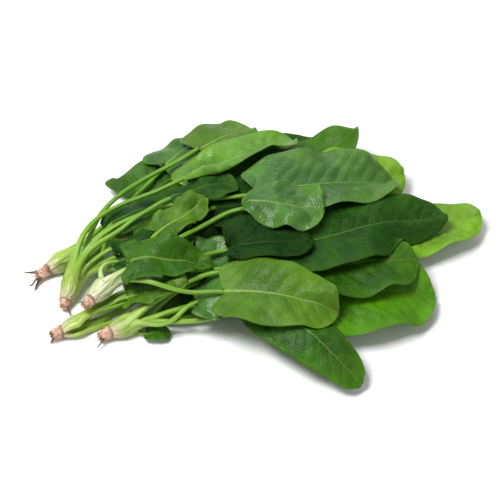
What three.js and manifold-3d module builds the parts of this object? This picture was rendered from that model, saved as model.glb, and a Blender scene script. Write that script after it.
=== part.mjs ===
// A bunch of fresh spinach lying on a table: five plants with their roots trimmed short.
// Each plant is a crown of leaf stalks, its root, and its leaf blades, one solid for each.
// Millimetres, +Z up. +X runs along the bunch from the roots to the leaf tips.
// The leaves are laid one after another, each over what already lies there, as a pile forms.
import * as THREE from "three";
import { mergeVertices } from "three/addons/utils/BufferGeometryUtils.js";
import Module from "manifold-3d";

const wasm = await Module();
wasm.setup();

// Driving dimensions
const BLADE_THICKNESS = 0.7;
const RIB_DEPTH = 2.0; // how far the midrib stands out below the blade at its base
const RIB_HALF_WIDTH = 1.5;
const RIB_TAPER = 0.6; // share of its width that the rib loses towards the tip
const RIB_THINNING = 0.85; // share of its depth that it loses
const EDGE_WAVES = 2.5; // ripples along each edge of a blade
const STALK_RADIUS_CROWN = 2.9;
const STALK_RADIUS_MIDDLE = 1.7;
const STALK_RADIUS_BLADE = 1.4;
const STALK_SPREAD = 4.4; // how far from a crown's axis its stalks start
const CROWN_RADIUS = 6.8;
const CROWN_LENGTH = 15;
const CROWN_TABLE_SINK = 0.8; // a crown on the table is pressed flat by this much
const ROOT_RADIUS = 5.2;
const FUSED_REACH = 30; // stalks of one plant grow together within this distance of its crown
const TOUCHING_GAP = 0.3;
const PILE_GAP = 0.5;

// Fineness of the solids
const STALK_SIDES = 6;
const STALK_STEPS = 9;
const CROWN_SIDES = 10;
const BLADE_ROWS = [0, 0.06, 0.14, 0.26, 0.4, 0.54, 0.68, 0.81, 0.92, 1];
const BLADE_COLUMNS = [-1, -0.55, -0.001, 0, 0.001, 0.55, 1]; // the inner pair bounds the rib
const MIDDLE = 3;
const ROW_SWEEP = 1.3; // how late a row of the blade turns towards its place on the margin

// How the pile settles
const CELL = 1; // square millimetres in which the height of the pile is kept
const PILE_REACH = 200;
const ROUNDS = 60; // rounds of smoothing of a leaf laid over others
const SMOOTHING = 0.2;
const BLADE_SAG = 0.03; // share of its height that an unheld point of a blade loses each round
const STALK_SAG = 0.008;
const STALK_BOWS = [0, -5, 5, -10, 10]; // a stalk slides to where it lies lowest
const BOW_RELUCTANCE = 0.5;

const DEGREE = Math.PI / 180;

// Outlines of a blade from the stalk round to the tip: distance along the midrib as a share of the
// length, and distance from the midrib as a share of half the width, at each share in OUTLINE_AT.
const OUTLINE_AT = [0, 0.06, 0.2, 0.4, 0.6, 0.8, 0.93, 1];
const OUTLINES = {
  oval: {
    along: [-0.012, -0.07, 0.1, 0.37, 0.61, 0.85, 0.965, 1],
    out: [0.09, 0.62, 0.95, 1, 0.93, 0.66, 0.33, 0.05],
  },
  arrow: {
    along: [-0.02, -0.11, 0.04, 0.34, 0.6, 0.84, 0.96, 1],
    out: [0.09, 0.78, 1, 0.9, 0.76, 0.5, 0.23, 0.04],
  },
  spoon: {
    along: [-0.008, -0.01, 0.16, 0.4, 0.64, 0.88, 0.98, 1],
    out: [0.09, 0.3, 0.66, 0.92, 1, 0.86, 0.46, 0.06],
  },
};

// Each plant: where its crown's middle lies, which way its stalks leave, how steeply they rise,
// how long its root is, and its rootlets as [angle round the root in degrees, length].
const PLANTS = {
  a: { at: [-116, 9], heading: 62, pitch: 12, root: 7, rootlets: [[200, 5]] },
  b: { at: [-118, 33], heading: 22, pitch: 4, root: 11, rootlets: [[150, 12], [215, 10], [20, 9]] },
  c: { at: [-98, -9], heading: 34, pitch: 8, root: 9, rootlets: [[160, 5]] },
  d: { at: [-118, -21], heading: 8, pitch: 2, root: 9, rootlets: [[120, 4], [240, 5]] },
  e: { at: [-89, -29], heading: 12, pitch: 2, root: 10, rootlets: [[200, 6]] },
};

// The leaves in the order in which they lie, from the table up. base and tip are the ends of the
// midrib and width the widest span. The rest shapes the blade: arch lifts its middle and tipUp its
// tip, roll turns it about the midrib (left side up), fold raises both sides (a negative one hangs
// them down), wave ripples the edge, lift raises it all. Angles are in degrees.
const LEAVES = [
  { name: "b1", base: [-62, 74], tip: [2, 102], width: 48, outline: "arrow", fold: 8, wave: 3 },
  { name: "d1", base: [-10, 26], tip: [70, 50], width: 54, outline: "oval", fold: 8, wave: 3 },
  { name: "d2", base: [-62, -20], tip: [-24, -29], width: 26, outline: "oval", fold: 8, wave: 2 },
  { name: "b2", base: [12, 74], tip: [82, 90], width: 44, outline: "oval", fold: 8, wave: 3, tipUp: -4 },
  { name: "d3", base: [-44, -8], tip: [28, -6], width: 42, outline: "oval", fold: 9, wave: 3 },
  { name: "e1", base: [-76, -36], tip: [-62, -41], width: 13, outline: "oval", fold: 8, wave: 1 },
  { name: "e2", base: [-4, -20], tip: [84, -14], width: 50, outline: "oval", fold: 9, wave: 3 },
  { name: "b3", base: [52, -8], tip: [157, -3], width: 48, outline: "oval", fold: 8, wave: 3, tipUp: 6 },
  { name: "e3", base: [14, -42], tip: [106, -56], width: 66, outline: "oval", fold: 4, wave: 3, tipUp: -6 },
  { name: "e4", base: [-8, -46], tip: [40, -110], width: 35, outline: "oval", fold: -18, tipUp: -8 },
  { name: "e6", base: [-42, -32], tip: [14, -44], width: 34, outline: "oval", fold: 9, wave: 3 },
  { name: "b4", base: [-36, 40], tip: [42, 60], width: 46, outline: "oval", fold: 10, wave: 3 },
  { name: "b5", base: [-36, 92], tip: [4, 119], width: 38, outline: "arrow", roll: -24, wave: 2, lift: 5 },
  { name: "a1", base: [4, 56], tip: [95, 76], width: 42, outline: "oval", fold: 8, wave: 3, tipUp: 26 },
  { name: "d4", base: [-34, 8], tip: [40, 22], width: 44, outline: "oval", fold: 9, wave: 3 },
  { name: "d5", base: [-50, -2], tip: [-6, -4], width: 28, outline: "oval", fold: 8, wave: 2 },
  { name: "e5", base: [22, -29], tip: [100, -36], width: 54, outline: "oval", fold: 6, wave: 4, arch: 6 },
  { name: "a2", base: [24, 36], tip: [119, 43], width: 50, outline: "oval", fold: 9, wave: 3, tipUp: 6 },
  { name: "d6", base: [-82, -14], tip: [-46, -22], width: 24, outline: "arrow", fold: 8, wave: 2 },
  { name: "a7", base: [-82, 42], tip: [-30, 56], width: 26, outline: "oval", fold: 8, wave: 2 },
  { name: "a3", base: [4, -17], tip: [131, -5], width: 54, outline: "oval", fold: 14, wave: 2, tipUp: 8 },
  { name: "a8", base: [-16, 30], tip: [60, 34], width: 46, outline: "oval", fold: 10, wave: 3 },
  { name: "a4", base: [-12, 91], tip: [32, 111], width: 48, outline: "oval", fold: -14, wave: 2, lift: 6 },
  { name: "a10", base: [-66, 22], tip: [-30, 28], width: 22, outline: "oval", fold: 8, wave: 2 },
  { name: "c1", base: [-27, -37], tip: [38, -67], width: 44, outline: "oval", fold: 4, wave: 2, arch: 5 },
  { name: "c6", base: [-84, 11], tip: [-34, 8], width: 24, outline: "oval", fold: 8, wave: 2 },
  { name: "c2", base: [-16, -3], tip: [36, -20], width: 36, outline: "oval", fold: 8, wave: 2 },
  { name: "a5", base: [14, 33], tip: [109, 33], width: 58, outline: "oval", fold: 4, wave: 4, arch: 7 },
  { name: "a9", base: [-42, 40], tip: [4, 49], width: 28, outline: "spoon", fold: 8, wave: 1.5 },
  { name: "c3", base: [0, 19], tip: [49, 2], width: 42, outline: "spoon", fold: -14, roll: 14, wave: 3 },
  { name: "a6", base: [-26, 58], tip: [54, 83], width: 44, outline: "oval", fold: -12, roll: 6, wave: 2 },
  { name: "c4", base: [-56, 13], tip: [-21, 31], width: 24, outline: "oval", fold: 8, wave: 2 },
  { name: "c5", base: [-78, -4], tip: [-27, -13], width: 29, outline: "arrow", fold: 5, wave: 2, arch: 5 },
];

const LEAF_GREEN = 0x3f7a22;
const STALK_GREEN = 0x9cc45a;
const ROOT_BROWN = 0xb98a72;

// Value at t of a smooth curve through the values given at the knots, one after the other.
function smoothThrough(knots, values, t) {
  let k = 0;
  while (k < knots.length - 2 && t > knots[k + 1]) k += 1;
  const slope = (a, b) => (values[b] - values[a]) / (knots[b] - knots[a]);
  const last = knots.length - 1;
  const before = k > 0 ? slope(k - 1, k + 1) : slope(0, 1);
  const after = k + 1 < last ? slope(k, k + 2) : slope(last - 1, last);
  const span = knots[k + 1] - knots[k];
  const u = (t - knots[k]) / span;
  return (
    values[k] * (2 * u ** 3 - 3 * u ** 2 + 1) +
    before * span * (u ** 3 - 2 * u ** 2 + u) +
    values[k + 1] * (3 * u ** 2 - 2 * u ** 3) +
    after * span * (u ** 3 - u ** 2)
  );
}

// The height of what lies under each small square of the table.
class Pile {
  constructor() {
    this.across = Math.ceil((2 * PILE_REACH) / CELL);
    this.heights = new Float32Array(this.across * this.across);
  }

  // Calls visit(cell, low, high) with the triangle's heights over each square it touches.
  static overTriangle(pile, a, b, c, visit) {
    const cross = (b.x - a.x) * (c.y - a.y) - (b.y - a.y) * (c.x - a.x);
    if (Math.abs(cross) < 1e-6) return;
    const slopeX = ((b.z - a.z) * (c.y - a.y) - (c.z - a.z) * (b.y - a.y)) / cross;
    const slopeY = ((c.z - a.z) * (b.x - a.x) - (b.z - a.z) * (c.x - a.x)) / cross;
    const rise = (Math.abs(slopeX) + Math.abs(slopeY)) * CELL * 0.5;
    const floor = Math.min(a.z, b.z, c.z);
    const top = Math.max(a.z, b.z, c.z);
    const side = Math.sign(cross);
    const edges = [[a, b], [b, c], [c, a]].map(([p, q]) => {
      const length = Math.hypot(q.x - p.x, q.y - p.y) || 1;
      return { p, dx: (q.x - p.x) / length, dy: (q.y - p.y) / length };
    });
    const column = (x) => Math.floor((x + PILE_REACH) / CELL);
    const firstX = column(Math.min(a.x, b.x, c.x) - CELL);
    const lastX = column(Math.max(a.x, b.x, c.x) + CELL);
    const firstY = column(Math.min(a.y, b.y, c.y) - CELL);
    const lastY = column(Math.max(a.y, b.y, c.y) + CELL);
    for (let iy = firstY; iy <= lastY; iy += 1) {
      const y = (iy + 0.5) * CELL - PILE_REACH;
      for (let ix = firstX; ix <= lastX; ix += 1) {
        const x = (ix + 0.5) * CELL - PILE_REACH;
        const outside = edges.some(
          ({ p, dx, dy }) => side * (dx * (y - p.y) - dy * (x - p.x)) < -0.71 * CELL,
        );
        if (outside) continue;
        const z = a.z + slopeX * (x - a.x) + slopeY * (y - a.y);
        const low = Math.min(top, Math.max(floor, z - rise));
        const high = Math.max(floor, Math.min(top, z + rise));
        visit(iy * pile.across + ix, low, high);
      }
    }
  }

  add(a, b, c) {
    Pile.overTriangle(this, a, b, c, (cell, low, high) => {
      this.heights[cell] = Math.max(this.heights[cell], high);
    });
  }

  // How far a triangle must rise to lie clear of the pile.
  needed(a, b, c) {
    let need = -Infinity;
    Pile.overTriangle(this, a, b, c, (cell, low) => {
      const height = this.heights[cell];
      const clear = height > 0 ? height + PILE_GAP : 0;
      need = Math.max(need, clear - low);
    });
    return need;
  }
}

// A stalk's own plant lets it start among its other stalks, so each plant has a pile of its own
// that leaves those out near the crown. Blades lie on the whole pile.
const wholePile = new Pile();
const pileFor = Object.fromEntries(Object.keys(PLANTS).map((key) => [key, new Pile()]));

// The flat strip that a stretch of stalk covers, as two triangles at its top or underside.
function strip(from, to, radiusFrom, radiusTo, side) {
  const along = new THREE.Vector3(to.x - from.x, to.y - from.y, 0).normalize();
  const left = new THREE.Vector3(-along.y, along.x, 0);
  const corner = (p, radius, turn) =>
    new THREE.Vector3(p.x + left.x * radius * turn, p.y + left.y * radius * turn, p.z + side * radius);
  const [a, b] = [corner(from, radiusFrom, 1), corner(from, radiusFrom, -1)];
  const [c, d] = [corner(to, radiusTo, 1), corner(to, radiusTo, -1)];
  return [[a, b, c], [b, d, c]];
}

// A closed tube with a round section of changing radius through the points.
function tube(points, radii, sides, { flatFloor = false, rough = null, endTangent = null } = {}) {
  const positions = [];
  const indices = [];
  const rings = points.length;
  points.forEach((p, i) => {
    const ahead = points[Math.min(i + 1, rings - 1)].clone();
    const tangent = ahead.sub(points[Math.max(i - 1, 0)]).normalize();
    if (endTangent && i === rings - 1) tangent.copy(endTangent);
    const left = new THREE.Vector3(-tangent.y, tangent.x, 0).normalize();
    const up = new THREE.Vector3().crossVectors(tangent, left);
    for (let j = 0; j < sides; j += 1) {
      const angle = ((j + 0.5) / sides) * 2 * Math.PI - Math.PI / 2;
      const radius = radii[i] * (rough ? rough(i, j) : 1);
      const v = p.clone();
      v.addScaledVector(left, -Math.cos(angle) * radius);
      v.addScaledVector(up, Math.sin(angle) * radius);
      if (flatFloor) v.z = Math.max(v.z, 0);
      positions.push(v.x, v.y, v.z);
    }
  });
  for (let i = 0; i + 1 < rings; i += 1) {
    for (let j = 0; j < sides; j += 1) {
      const [a, b] = [i * sides + j, i * sides + ((j + 1) % sides)];
      indices.push(a, b + sides, b, a, a + sides, b + sides);
    }
  }
  const lastRing = (rings - 1) * sides;
  for (let j = 1; j + 1 < sides; j += 1) {
    indices.push(0, j, j + 1);
    indices.push(lastRing, lastRing + j + 1, lastRing + j);
  }
  const geometry = new THREE.BufferGeometry();
  geometry.setAttribute("position", new THREE.Float32BufferAttribute(positions, 3));
  geometry.setIndex(indices);
  return geometry;
}

function solid(geometry) {
  const merged = mergeVertices(geometry, 1e-4);
  return new wasm.Manifold(
    new wasm.Mesh({
      numProp: 3,
      vertProperties: merged.attributes.position.array,
      triVerts: new Uint32Array(merged.index.array),
    }),
  );
}

function joined(geometries) {
  const whole = geometries.map(solid).reduce((sum, piece) => sum.add(piece));
  const mesh = whole.getMesh();
  const geometry = new THREE.BufferGeometry();
  geometry.setAttribute("position", new THREE.BufferAttribute(mesh.vertProperties, 3));
  geometry.setIndex(new THREE.BufferAttribute(mesh.triVerts, 1));
  return geometry;
}

const bunch = new THREE.Group();

function addPiece(name, geometry, colour, roughness) {
  geometry.computeVertexNormals();
  const material = new THREE.MeshStandardMaterial({ color: colour, roughness, metalness: 0 });
  const mesh = new THREE.Mesh(geometry, material);
  mesh.name = name;
  bunch.add(mesh);
}

// A crown with its root, lowered until it lies on the table or on the pile.
function layCrown(plant) {
  const turn = plant.heading * DEGREE;
  const climb = plant.pitch * DEGREE;
  plant.axis = new THREE.Vector3(
    Math.cos(turn) * Math.cos(climb),
    Math.sin(turn) * Math.cos(climb),
    Math.sin(climb),
  );
  plant.left = new THREE.Vector3(-Math.sin(turn), Math.cos(turn), 0);
  plant.up = new THREE.Vector3().crossVectors(plant.axis, plant.left);
  plant.centre = new THREE.Vector3(plant.at[0], plant.at[1], CROWN_RADIUS - CROWN_TABLE_SINK);
  const along = (distance) => plant.centre.clone().addScaledVector(plant.axis, distance);
  const back = -CROWN_LENGTH / 2;
  const shares = [0, 0.22, 0.5, 0.78, 1];
  const crownRadii = [0.66, 0.93, 1, 0.95, 0.8].map((share) => share * CROWN_RADIUS);
  const crownPoints = () => shares.map((share) => along(back + share * CROWN_LENGTH));
  const rootPoints = () =>
    [0, 0.35, 0.75, 1].map((share) => along(back - TOUCHING_GAP - share * plant.root));
  const rootRadii = [1, 0.9, 0.84, 0.6].map((share) => share * ROOT_RADIUS);
  let need = 0;
  const clearOf = pileFor[plant.key];
  const eachStrip = (points, radii, side, visit) => {
    for (let i = 0; i + 1 < points.length; i += 1) {
      strip(points[i], points[i + 1], radii[i], radii[i + 1], side).forEach(visit);
    }
  };
  const measure = ([a, b, c]) => {
    need = Math.max(need, clearOf.needed(a, b, c));
  };
  eachStrip(crownPoints(), crownRadii.map((r) => r - CROWN_TABLE_SINK), -1, measure);
  eachStrip(rootPoints(), rootRadii, -1, measure);
  plant.centre.z += need;
  plant.crown = tube(crownPoints(), crownRadii, CROWN_SIDES, { flatFloor: true });
  const wrinkle = (i, j) => 1 + 0.07 * Math.sin(2.1 * j + 3 * i + plant.at[0]);
  const stub = tube(rootPoints(), rootRadii, CROWN_SIDES, { rough: wrinkle, flatFloor: true });
  plant.rootPieces = [stub, ...plant.rootlets.map((rootlet) => rootletTube(plant, back, rootlet))];
  const others = Object.entries(pileFor).filter(([key]) => key !== plant.key);
  const lay = ([a, b, c]) => {
    wholePile.add(a, b, c);
    others.forEach(([, pile]) => pile.add(a, b, c));
  };
  eachStrip(crownPoints(), crownRadii, 1, lay);
  eachStrip(rootPoints(), rootRadii, 1, lay);
  plant.stalks = [];
}

// A thin side root that leaves the stub backwards and outwards.
function rootletTube(plant, back, [angle, length]) {
  const out = plant.left.clone().multiplyScalar(Math.cos(angle * DEGREE));
  out.addScaledVector(plant.up, Math.sin(angle * DEGREE));
  const start = plant.centre.clone();
  start.addScaledVector(plant.axis, back - TOUCHING_GAP - plant.root * 0.62);
  start.addScaledVector(out, ROOT_RADIUS * 0.4);
  const points = [0, 0.5, 1].map((share) => {
    const p = start.clone().addScaledVector(plant.axis, -length * share);
    p.addScaledVector(out, (ROOT_RADIUS * 0.5 + length * 0.35) * share);
    p.z = Math.max(p.z, 1.2);
    return p;
  });
  return tube(points, [1.7, 1.2, 0.6], 5);
}

// The blade as laid out flat on the table: for each row and column, its place along and across
// the midrib, before it is shaped and laid on the pile.
function bladeOutline(leaf, length) {
  const form = OUTLINES[leaf.outline];
  const halfWidth = leaf.width / 2;
  return BLADE_ROWS.map((share) => {
    const marginAlong = smoothThrough(OUTLINE_AT, form.along, share) * length;
    const shareOut = smoothThrough(OUTLINE_AT, form.out, share);
    const marginOut = Math.max(shareOut * halfWidth, RIB_HALF_WIDTH * 1.25);
    const rib = RIB_HALF_WIDTH * (1 - RIB_TAPER * share);
    return BLADE_COLUMNS.map((column, j) => {
      const side = Math.sign(column);
      const beyondRib = Math.abs(j - MIDDLE) < 2 ? 0 : Math.abs(column);
      const outward = j === MIDDLE ? 0 : rib + (marginOut - rib) * beyondRib;
      const along = share * length + (marginAlong - share * length) * beyondRib ** ROW_SWEEP;
      return { share, along, across: side * outward, edge: (side * outward) / marginOut };
    });
  });
}

// A point of the blade in its natural shape, as if nothing lay under it.
function shapedPoint(leaf, length, { share, along, across, edge }) {
  const direction = new THREE.Vector2(leaf.tip[0] - leaf.base[0], leaf.tip[1] - leaf.base[1]);
  direction.normalize();
  const { arch = 3, roll = 0, fold = 0, wave = 0, tipUp = 0 } = leaf;
  const side = Math.sign(across);
  const slope = (fold + side * roll) * DEGREE;
  const out = across * Math.cos(slope);
  const phase = leaf.base[0] * 0.7 + leaf.tip[1] * 0.3 + side; // so that no two leaves ripple alike
  const ripple = wave * Math.sin(2 * Math.PI * EDGE_WAVES * share + phase) * edge ** 2;
  const lifted = arch * Math.sin(Math.PI * share) + tipUp * Math.max(0, (share - 0.5) / 0.5) ** 2;
  return new THREE.Vector3(
    leaf.base[0] + direction.x * along - direction.y * out,
    leaf.base[1] + direction.y * along + direction.x * out,
    lifted + Math.abs(across) * Math.sin(slope) + ripple,
  );
}

// Underside of a blade whose upper face is given: as thick as the blade square to its surface,
// with the rib below the middle column.
function underside(grid) {
  const rows = grid.length;
  const columns = grid[0].length;
  return grid.map((row, i) =>
    row.map((p, j) => {
      const along = grid[Math.min(i + 1, rows - 1)][j].clone().sub(grid[Math.max(i - 1, 0)][j]);
      const across = row[Math.min(j + 1, columns - 1)].clone().sub(row[Math.max(j - 1, 0)]);
      const upright = Math.max(0.4, Math.abs(along.cross(across).normalize().z));
      const rib = j === MIDDLE ? RIB_DEPTH * (1 - RIB_THINNING * BLADE_ROWS[i]) : 0;
      return new THREE.Vector3(p.x, p.y, p.z - BLADE_THICKNESS / upright - rib);
    }),
  );
}

// Corner numbers of the triangles of a blade's face, mirrored about the midrib.
function bladeTriangles() {
  const columns = BLADE_COLUMNS.length;
  const triangles = [];
  for (let i = 0; i + 1 < BLADE_ROWS.length; i += 1) {
    for (let j = 0; j + 1 < columns; j += 1) {
      const near = i * columns + j;
      const far = near + columns;
      if (j < MIDDLE) triangles.push([near, near + 1, far], [near + 1, far + 1, far]);
      else triangles.push([near, near + 1, far + 1], [near, far + 1, far]);
    }
  }
  return triangles;
}
const FACE_TRIANGLES = bladeTriangles();

// Closed blade between its upper face and its underside.
function bladeSolid(upper, lower) {
  const columns = BLADE_COLUMNS.length;
  const rows = BLADE_ROWS.length;
  const flat = [...upper.flat(), ...lower.flat()];
  const offset = rows * columns;
  const indices = [];
  for (const [a, b, c] of FACE_TRIANGLES) {
    indices.push(a, c, b);
    indices.push(a + offset, b + offset, c + offset);
  }
  const rim = [];
  for (let j = 0; j < columns - 1; j += 1) rim.push(j);
  for (let i = 0; i < rows - 1; i += 1) rim.push(i * columns + columns - 1);
  for (let j = columns - 1; j > 0; j -= 1) rim.push((rows - 1) * columns + j);
  for (let i = rows - 1; i > 0; i -= 1) rim.push(i * columns);
  rim.forEach((a, k) => {
    const b = rim[(k + 1) % rim.length];
    indices.push(a, b, b + offset, a, b + offset, a + offset);
  });
  const geometry = new THREE.BufferGeometry();
  const positions = flat.flatMap((p) => [p.x, p.y, p.z]);
  geometry.setAttribute("position", new THREE.Float32BufferAttribute(positions, 3));
  geometry.setIndex(indices);
  return geometry;
}

// The stalk from the crown to the blade's base, bowed to the left by bow, before it is laid.
function stalkPath(plant, leaf, bladeBase, bladeStart, bow) {
  const toBlade = new THREE.Vector3(leaf.base[0], leaf.base[1], 0).sub(plant.centre).setZ(0);
  const sideways = Math.sign(toBlade.dot(plant.left)) || 1;
  const round = (leaf.rank - 0.5) * Math.PI;
  const start = plant.centre.clone();
  start.addScaledVector(plant.axis, CROWN_LENGTH * 0.1);
  start.addScaledVector(plant.left, sideways * Math.cos(round) * STALK_SPREAD);
  start.addScaledVector(plant.up, Math.sin(round) * STALK_SPREAD);
  const reach = toBlade.length();
  const leave = plant.axis.clone().multiplyScalar(reach * 0.9);
  const arrive = bladeStart.clone().multiplyScalar(reach * 0.9);
  const left = new THREE.Vector3(-toBlade.y, toBlade.x, 0).normalize();
  const points = [];
  for (let k = 0; k <= STALK_STEPS; k += 1) {
    const u = k / STALK_STEPS;
    const p = start.clone().multiplyScalar(2 * u ** 3 - 3 * u ** 2 + 1);
    p.addScaledVector(leave, u ** 3 - 2 * u ** 2 + u);
    p.addScaledVector(bladeBase, 3 * u ** 2 - 2 * u ** 3);
    p.addScaledVector(arrive, u ** 3 - u ** 2);
    p.addScaledVector(left, bow * Math.sin(Math.PI * u) ** 2);
    p.z = Math.max(p.z, stalkRadius(u));
    points.push(p);
  }
  return points;
}

function stalkRadius(u) {
  return smoothThrough(
    [0, 0.3, 1],
    [STALK_RADIUS_CROWN, STALK_RADIUS_MIDDLE, STALK_RADIUS_BLADE],
    u,
  );
}

// Lays one leaf over the pile: its points rise by as much as they need to lie clear, and the rest
// of the leaf follows them smoothly.
function layLeaf(leaf) {
  const plant = PLANTS[leaf.name[0]];
  if (!plant.centre) layCrown(plant);
  const length = Math.hypot(leaf.tip[0] - leaf.base[0], leaf.tip[1] - leaf.base[1]);
  const natural = bladeOutline(leaf, length).map((row) =>
    row.map((point) => shapedPoint(leaf, length, point)),
  );
  const lowest = Math.min(...underside(natural).flat().map((p) => p.z));
  const { lift = 0 } = leaf;
  natural.flat().forEach((p) => {
    p.z += lift - lowest;
  });
  const columns = BLADE_COLUMNS.length;
  const baseTop = natural[0][MIDDLE];
  const bladeStart = natural[1][MIDDLE].clone().sub(baseTop).normalize();
  const direction = new THREE.Vector3(leaf.tip[0] - leaf.base[0], leaf.tip[1] - leaf.base[1], 0);
  direction.normalize();
  const bladeBase = baseTop.clone().addScaledVector(direction, -TOUCHING_GAP);
  bladeBase.z -= STALK_RADIUS_BLADE;
  const stalk = lowestStalk(plant, leaf, bladeBase, bladeStart);
  const stalkCount = stalk.length;
  const points = [...stalk, ...natural.flat()];
  const lifts = new Float32Array(points.length);
  const neighbours = leafNeighbours(stalkCount, columns);
  const ownPile = pileFor[plant.key];
  for (let pass = 0; pass < 4; pass += 1) {
    const raised = points.map((p, k) => new THREE.Vector3(p.x, p.y, p.z + lifts[k]));
    const needs = leafNeeds(raised, stalkCount, ownPile);
    const least = lifts.map((value, k) => value + Math.max(0, needs[k]));
    for (let round = 0; round < (pass < 3 ? ROUNDS : 0); round += 1) {
      const next = lifts.map((value, k) => {
        const pull = neighbours[k].reduce((sum, n) => sum + lifts[n] - value, 0);
        const sag = k < stalkCount ? STALK_SAG : BLADE_SAG;
        return Math.max(least[k], (1 - sag) * (value + SMOOTHING * pull));
      });
      next[0] = 0;
      lifts.set(next);
    }
    if (pass === 3) lifts.set(least);
    lifts[0] = 0;
  }
  points.forEach((p, k) => {
    p.z += lifts[k];
  });
  finishLeaf(plant, leaf, direction, points.slice(0, stalkCount), points.slice(stalkCount));
}

// Of the stalk's possible bows, the one that has to rise least over what lies there.
function lowestStalk(plant, leaf, bladeBase, bladeStart) {
  let best = null;
  let least = Infinity;
  for (const bow of STALK_BOWS) {
    const path = stalkPath(plant, leaf, bladeBase, bladeStart, bow);
    const needs = stalkNeeds(path, pileFor[plant.key]);
    const effort = needs.reduce((sum, need) => sum + need, 0) + BOW_RELUCTANCE * Math.abs(bow);
    if (effort < least) {
      least = effort;
      best = path;
    }
  }
  return best;
}

// How far each point of a stalk must rise to lie clear of the pile.
function stalkNeeds(path, pile) {
  const needs = path.map(() => 0);
  for (let k = 0; k + 1 < path.length; k += 1) {
    const [from, to] = [stalkRadius(k / STALK_STEPS), stalkRadius((k + 1) / STALK_STEPS)];
    for (const [a, b, c] of strip(path[k], path[k + 1], from, to, -1)) {
      const need = pile.needed(a, b, c);
      needs[k] = Math.max(needs[k], need);
      needs[k + 1] = Math.max(needs[k + 1], need);
    }
  }
  return needs;
}

// Which points of a leaf pull at each other as it settles.
function leafNeighbours(stalkCount, columns) {
  const lists = [];
  const link = (a, b) => {
    (lists[a] ??= []).push(b);
    (lists[b] ??= []).push(a);
  };
  for (let k = 0; k + 1 < stalkCount; k += 1) link(k, k + 1);
  link(stalkCount - 1, stalkCount + MIDDLE);
  const at = (i, j) => stalkCount + i * columns + j;
  BLADE_ROWS.forEach((_, i) => {
    BLADE_COLUMNS.forEach((__, j) => {
      if (i + 1 < BLADE_ROWS.length) link(at(i, j), at(i + 1, j));
      if (j + 1 < columns) link(at(i, j), at(i, j + 1));
    });
  });
  return lists;
}

function leafNeeds(raised, stalkCount, ownPile) {
  const needs = raised.map(() => 0);
  stalkNeeds(raised.slice(0, stalkCount), ownPile).forEach((need, k) => {
    needs[k] = need;
  });
  const columns = BLADE_COLUMNS.length;
  const grid = BLADE_ROWS.map((_, i) =>
    raised.slice(stalkCount + i * columns, stalkCount + (i + 1) * columns),
  );
  const lower = underside(grid).flat();
  for (const corners of FACE_TRIANGLES) {
    const need = wholePile.needed(...corners.map((k) => lower[k]));
    corners.forEach((k) => {
      needs[stalkCount + k] = Math.max(needs[stalkCount + k], need);
    });
  }
  const joint = Math.max(needs[stalkCount - 1], needs[stalkCount + MIDDLE]);
  needs[stalkCount - 1] = joint;
  needs[stalkCount + MIDDLE] = joint;
  return needs;
}

// Adds the laid leaf to its plant and to the pile.
function finishLeaf(plant, leaf, direction, stalk, blade) {
  const columns = BLADE_COLUMNS.length;
  const upper = BLADE_ROWS.map((_, i) => blade.slice(i * columns, (i + 1) * columns));
  addPiece("leaf_" + leaf.name, bladeSolid(upper, underside(upper)), LEAF_GREEN, 0.55);
  const radii = stalk.map((_, k) => stalkRadius(k / STALK_STEPS));
  plant.stalks.push(tube(stalk, radii, STALK_SIDES, { endTangent: direction }));
  const upperFlat = upper.flat();
  const piles = [wholePile, ...Object.values(pileFor)];
  for (const [a, b, c] of FACE_TRIANGLES) {
    piles.forEach((pile) => pile.add(upperFlat[a], upperFlat[b], upperFlat[c]));
  }
  for (let k = 0; k + 1 < stalk.length; k += 1) {
    const nearCrown = stalk[k].distanceTo(plant.centre) < FUSED_REACH;
    for (const [a, b, c] of strip(stalk[k], stalk[k + 1], radii[k], radii[k + 1], 1)) {
      piles.forEach((pile) => {
        if (!(nearCrown && pile === pileFor[plant.key])) pile.add(a, b, c);
      });
    }
  }
}

for (const [key, plant] of Object.entries(PLANTS)) {
  plant.key = key;
  const own = LEAVES.filter((leaf) => leaf.name[0] === key);
  own.forEach((leaf, k) => {
    leaf.rank = own.length > 1 ? k / (own.length - 1) : 0.5;
  });
}
LEAVES.forEach(layLeaf);
for (const plant of Object.values(PLANTS)) {
  addPiece("stalks_" + plant.key, joined([plant.crown, ...plant.stalks]), STALK_GREEN, 0.6);
  addPiece("root_" + plant.key, joined(plant.rootPieces), ROOT_BROWN, 0.85);
}

// The origin is under the middle of the bunch, at table height.
const box = new THREE.Box3().setFromObject(bunch);
const middle = box.getCenter(new THREE.Vector3());
bunch.position.set(-middle.x, -middle.y, -box.min.z);

export default bunch;
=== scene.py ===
import math

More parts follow.
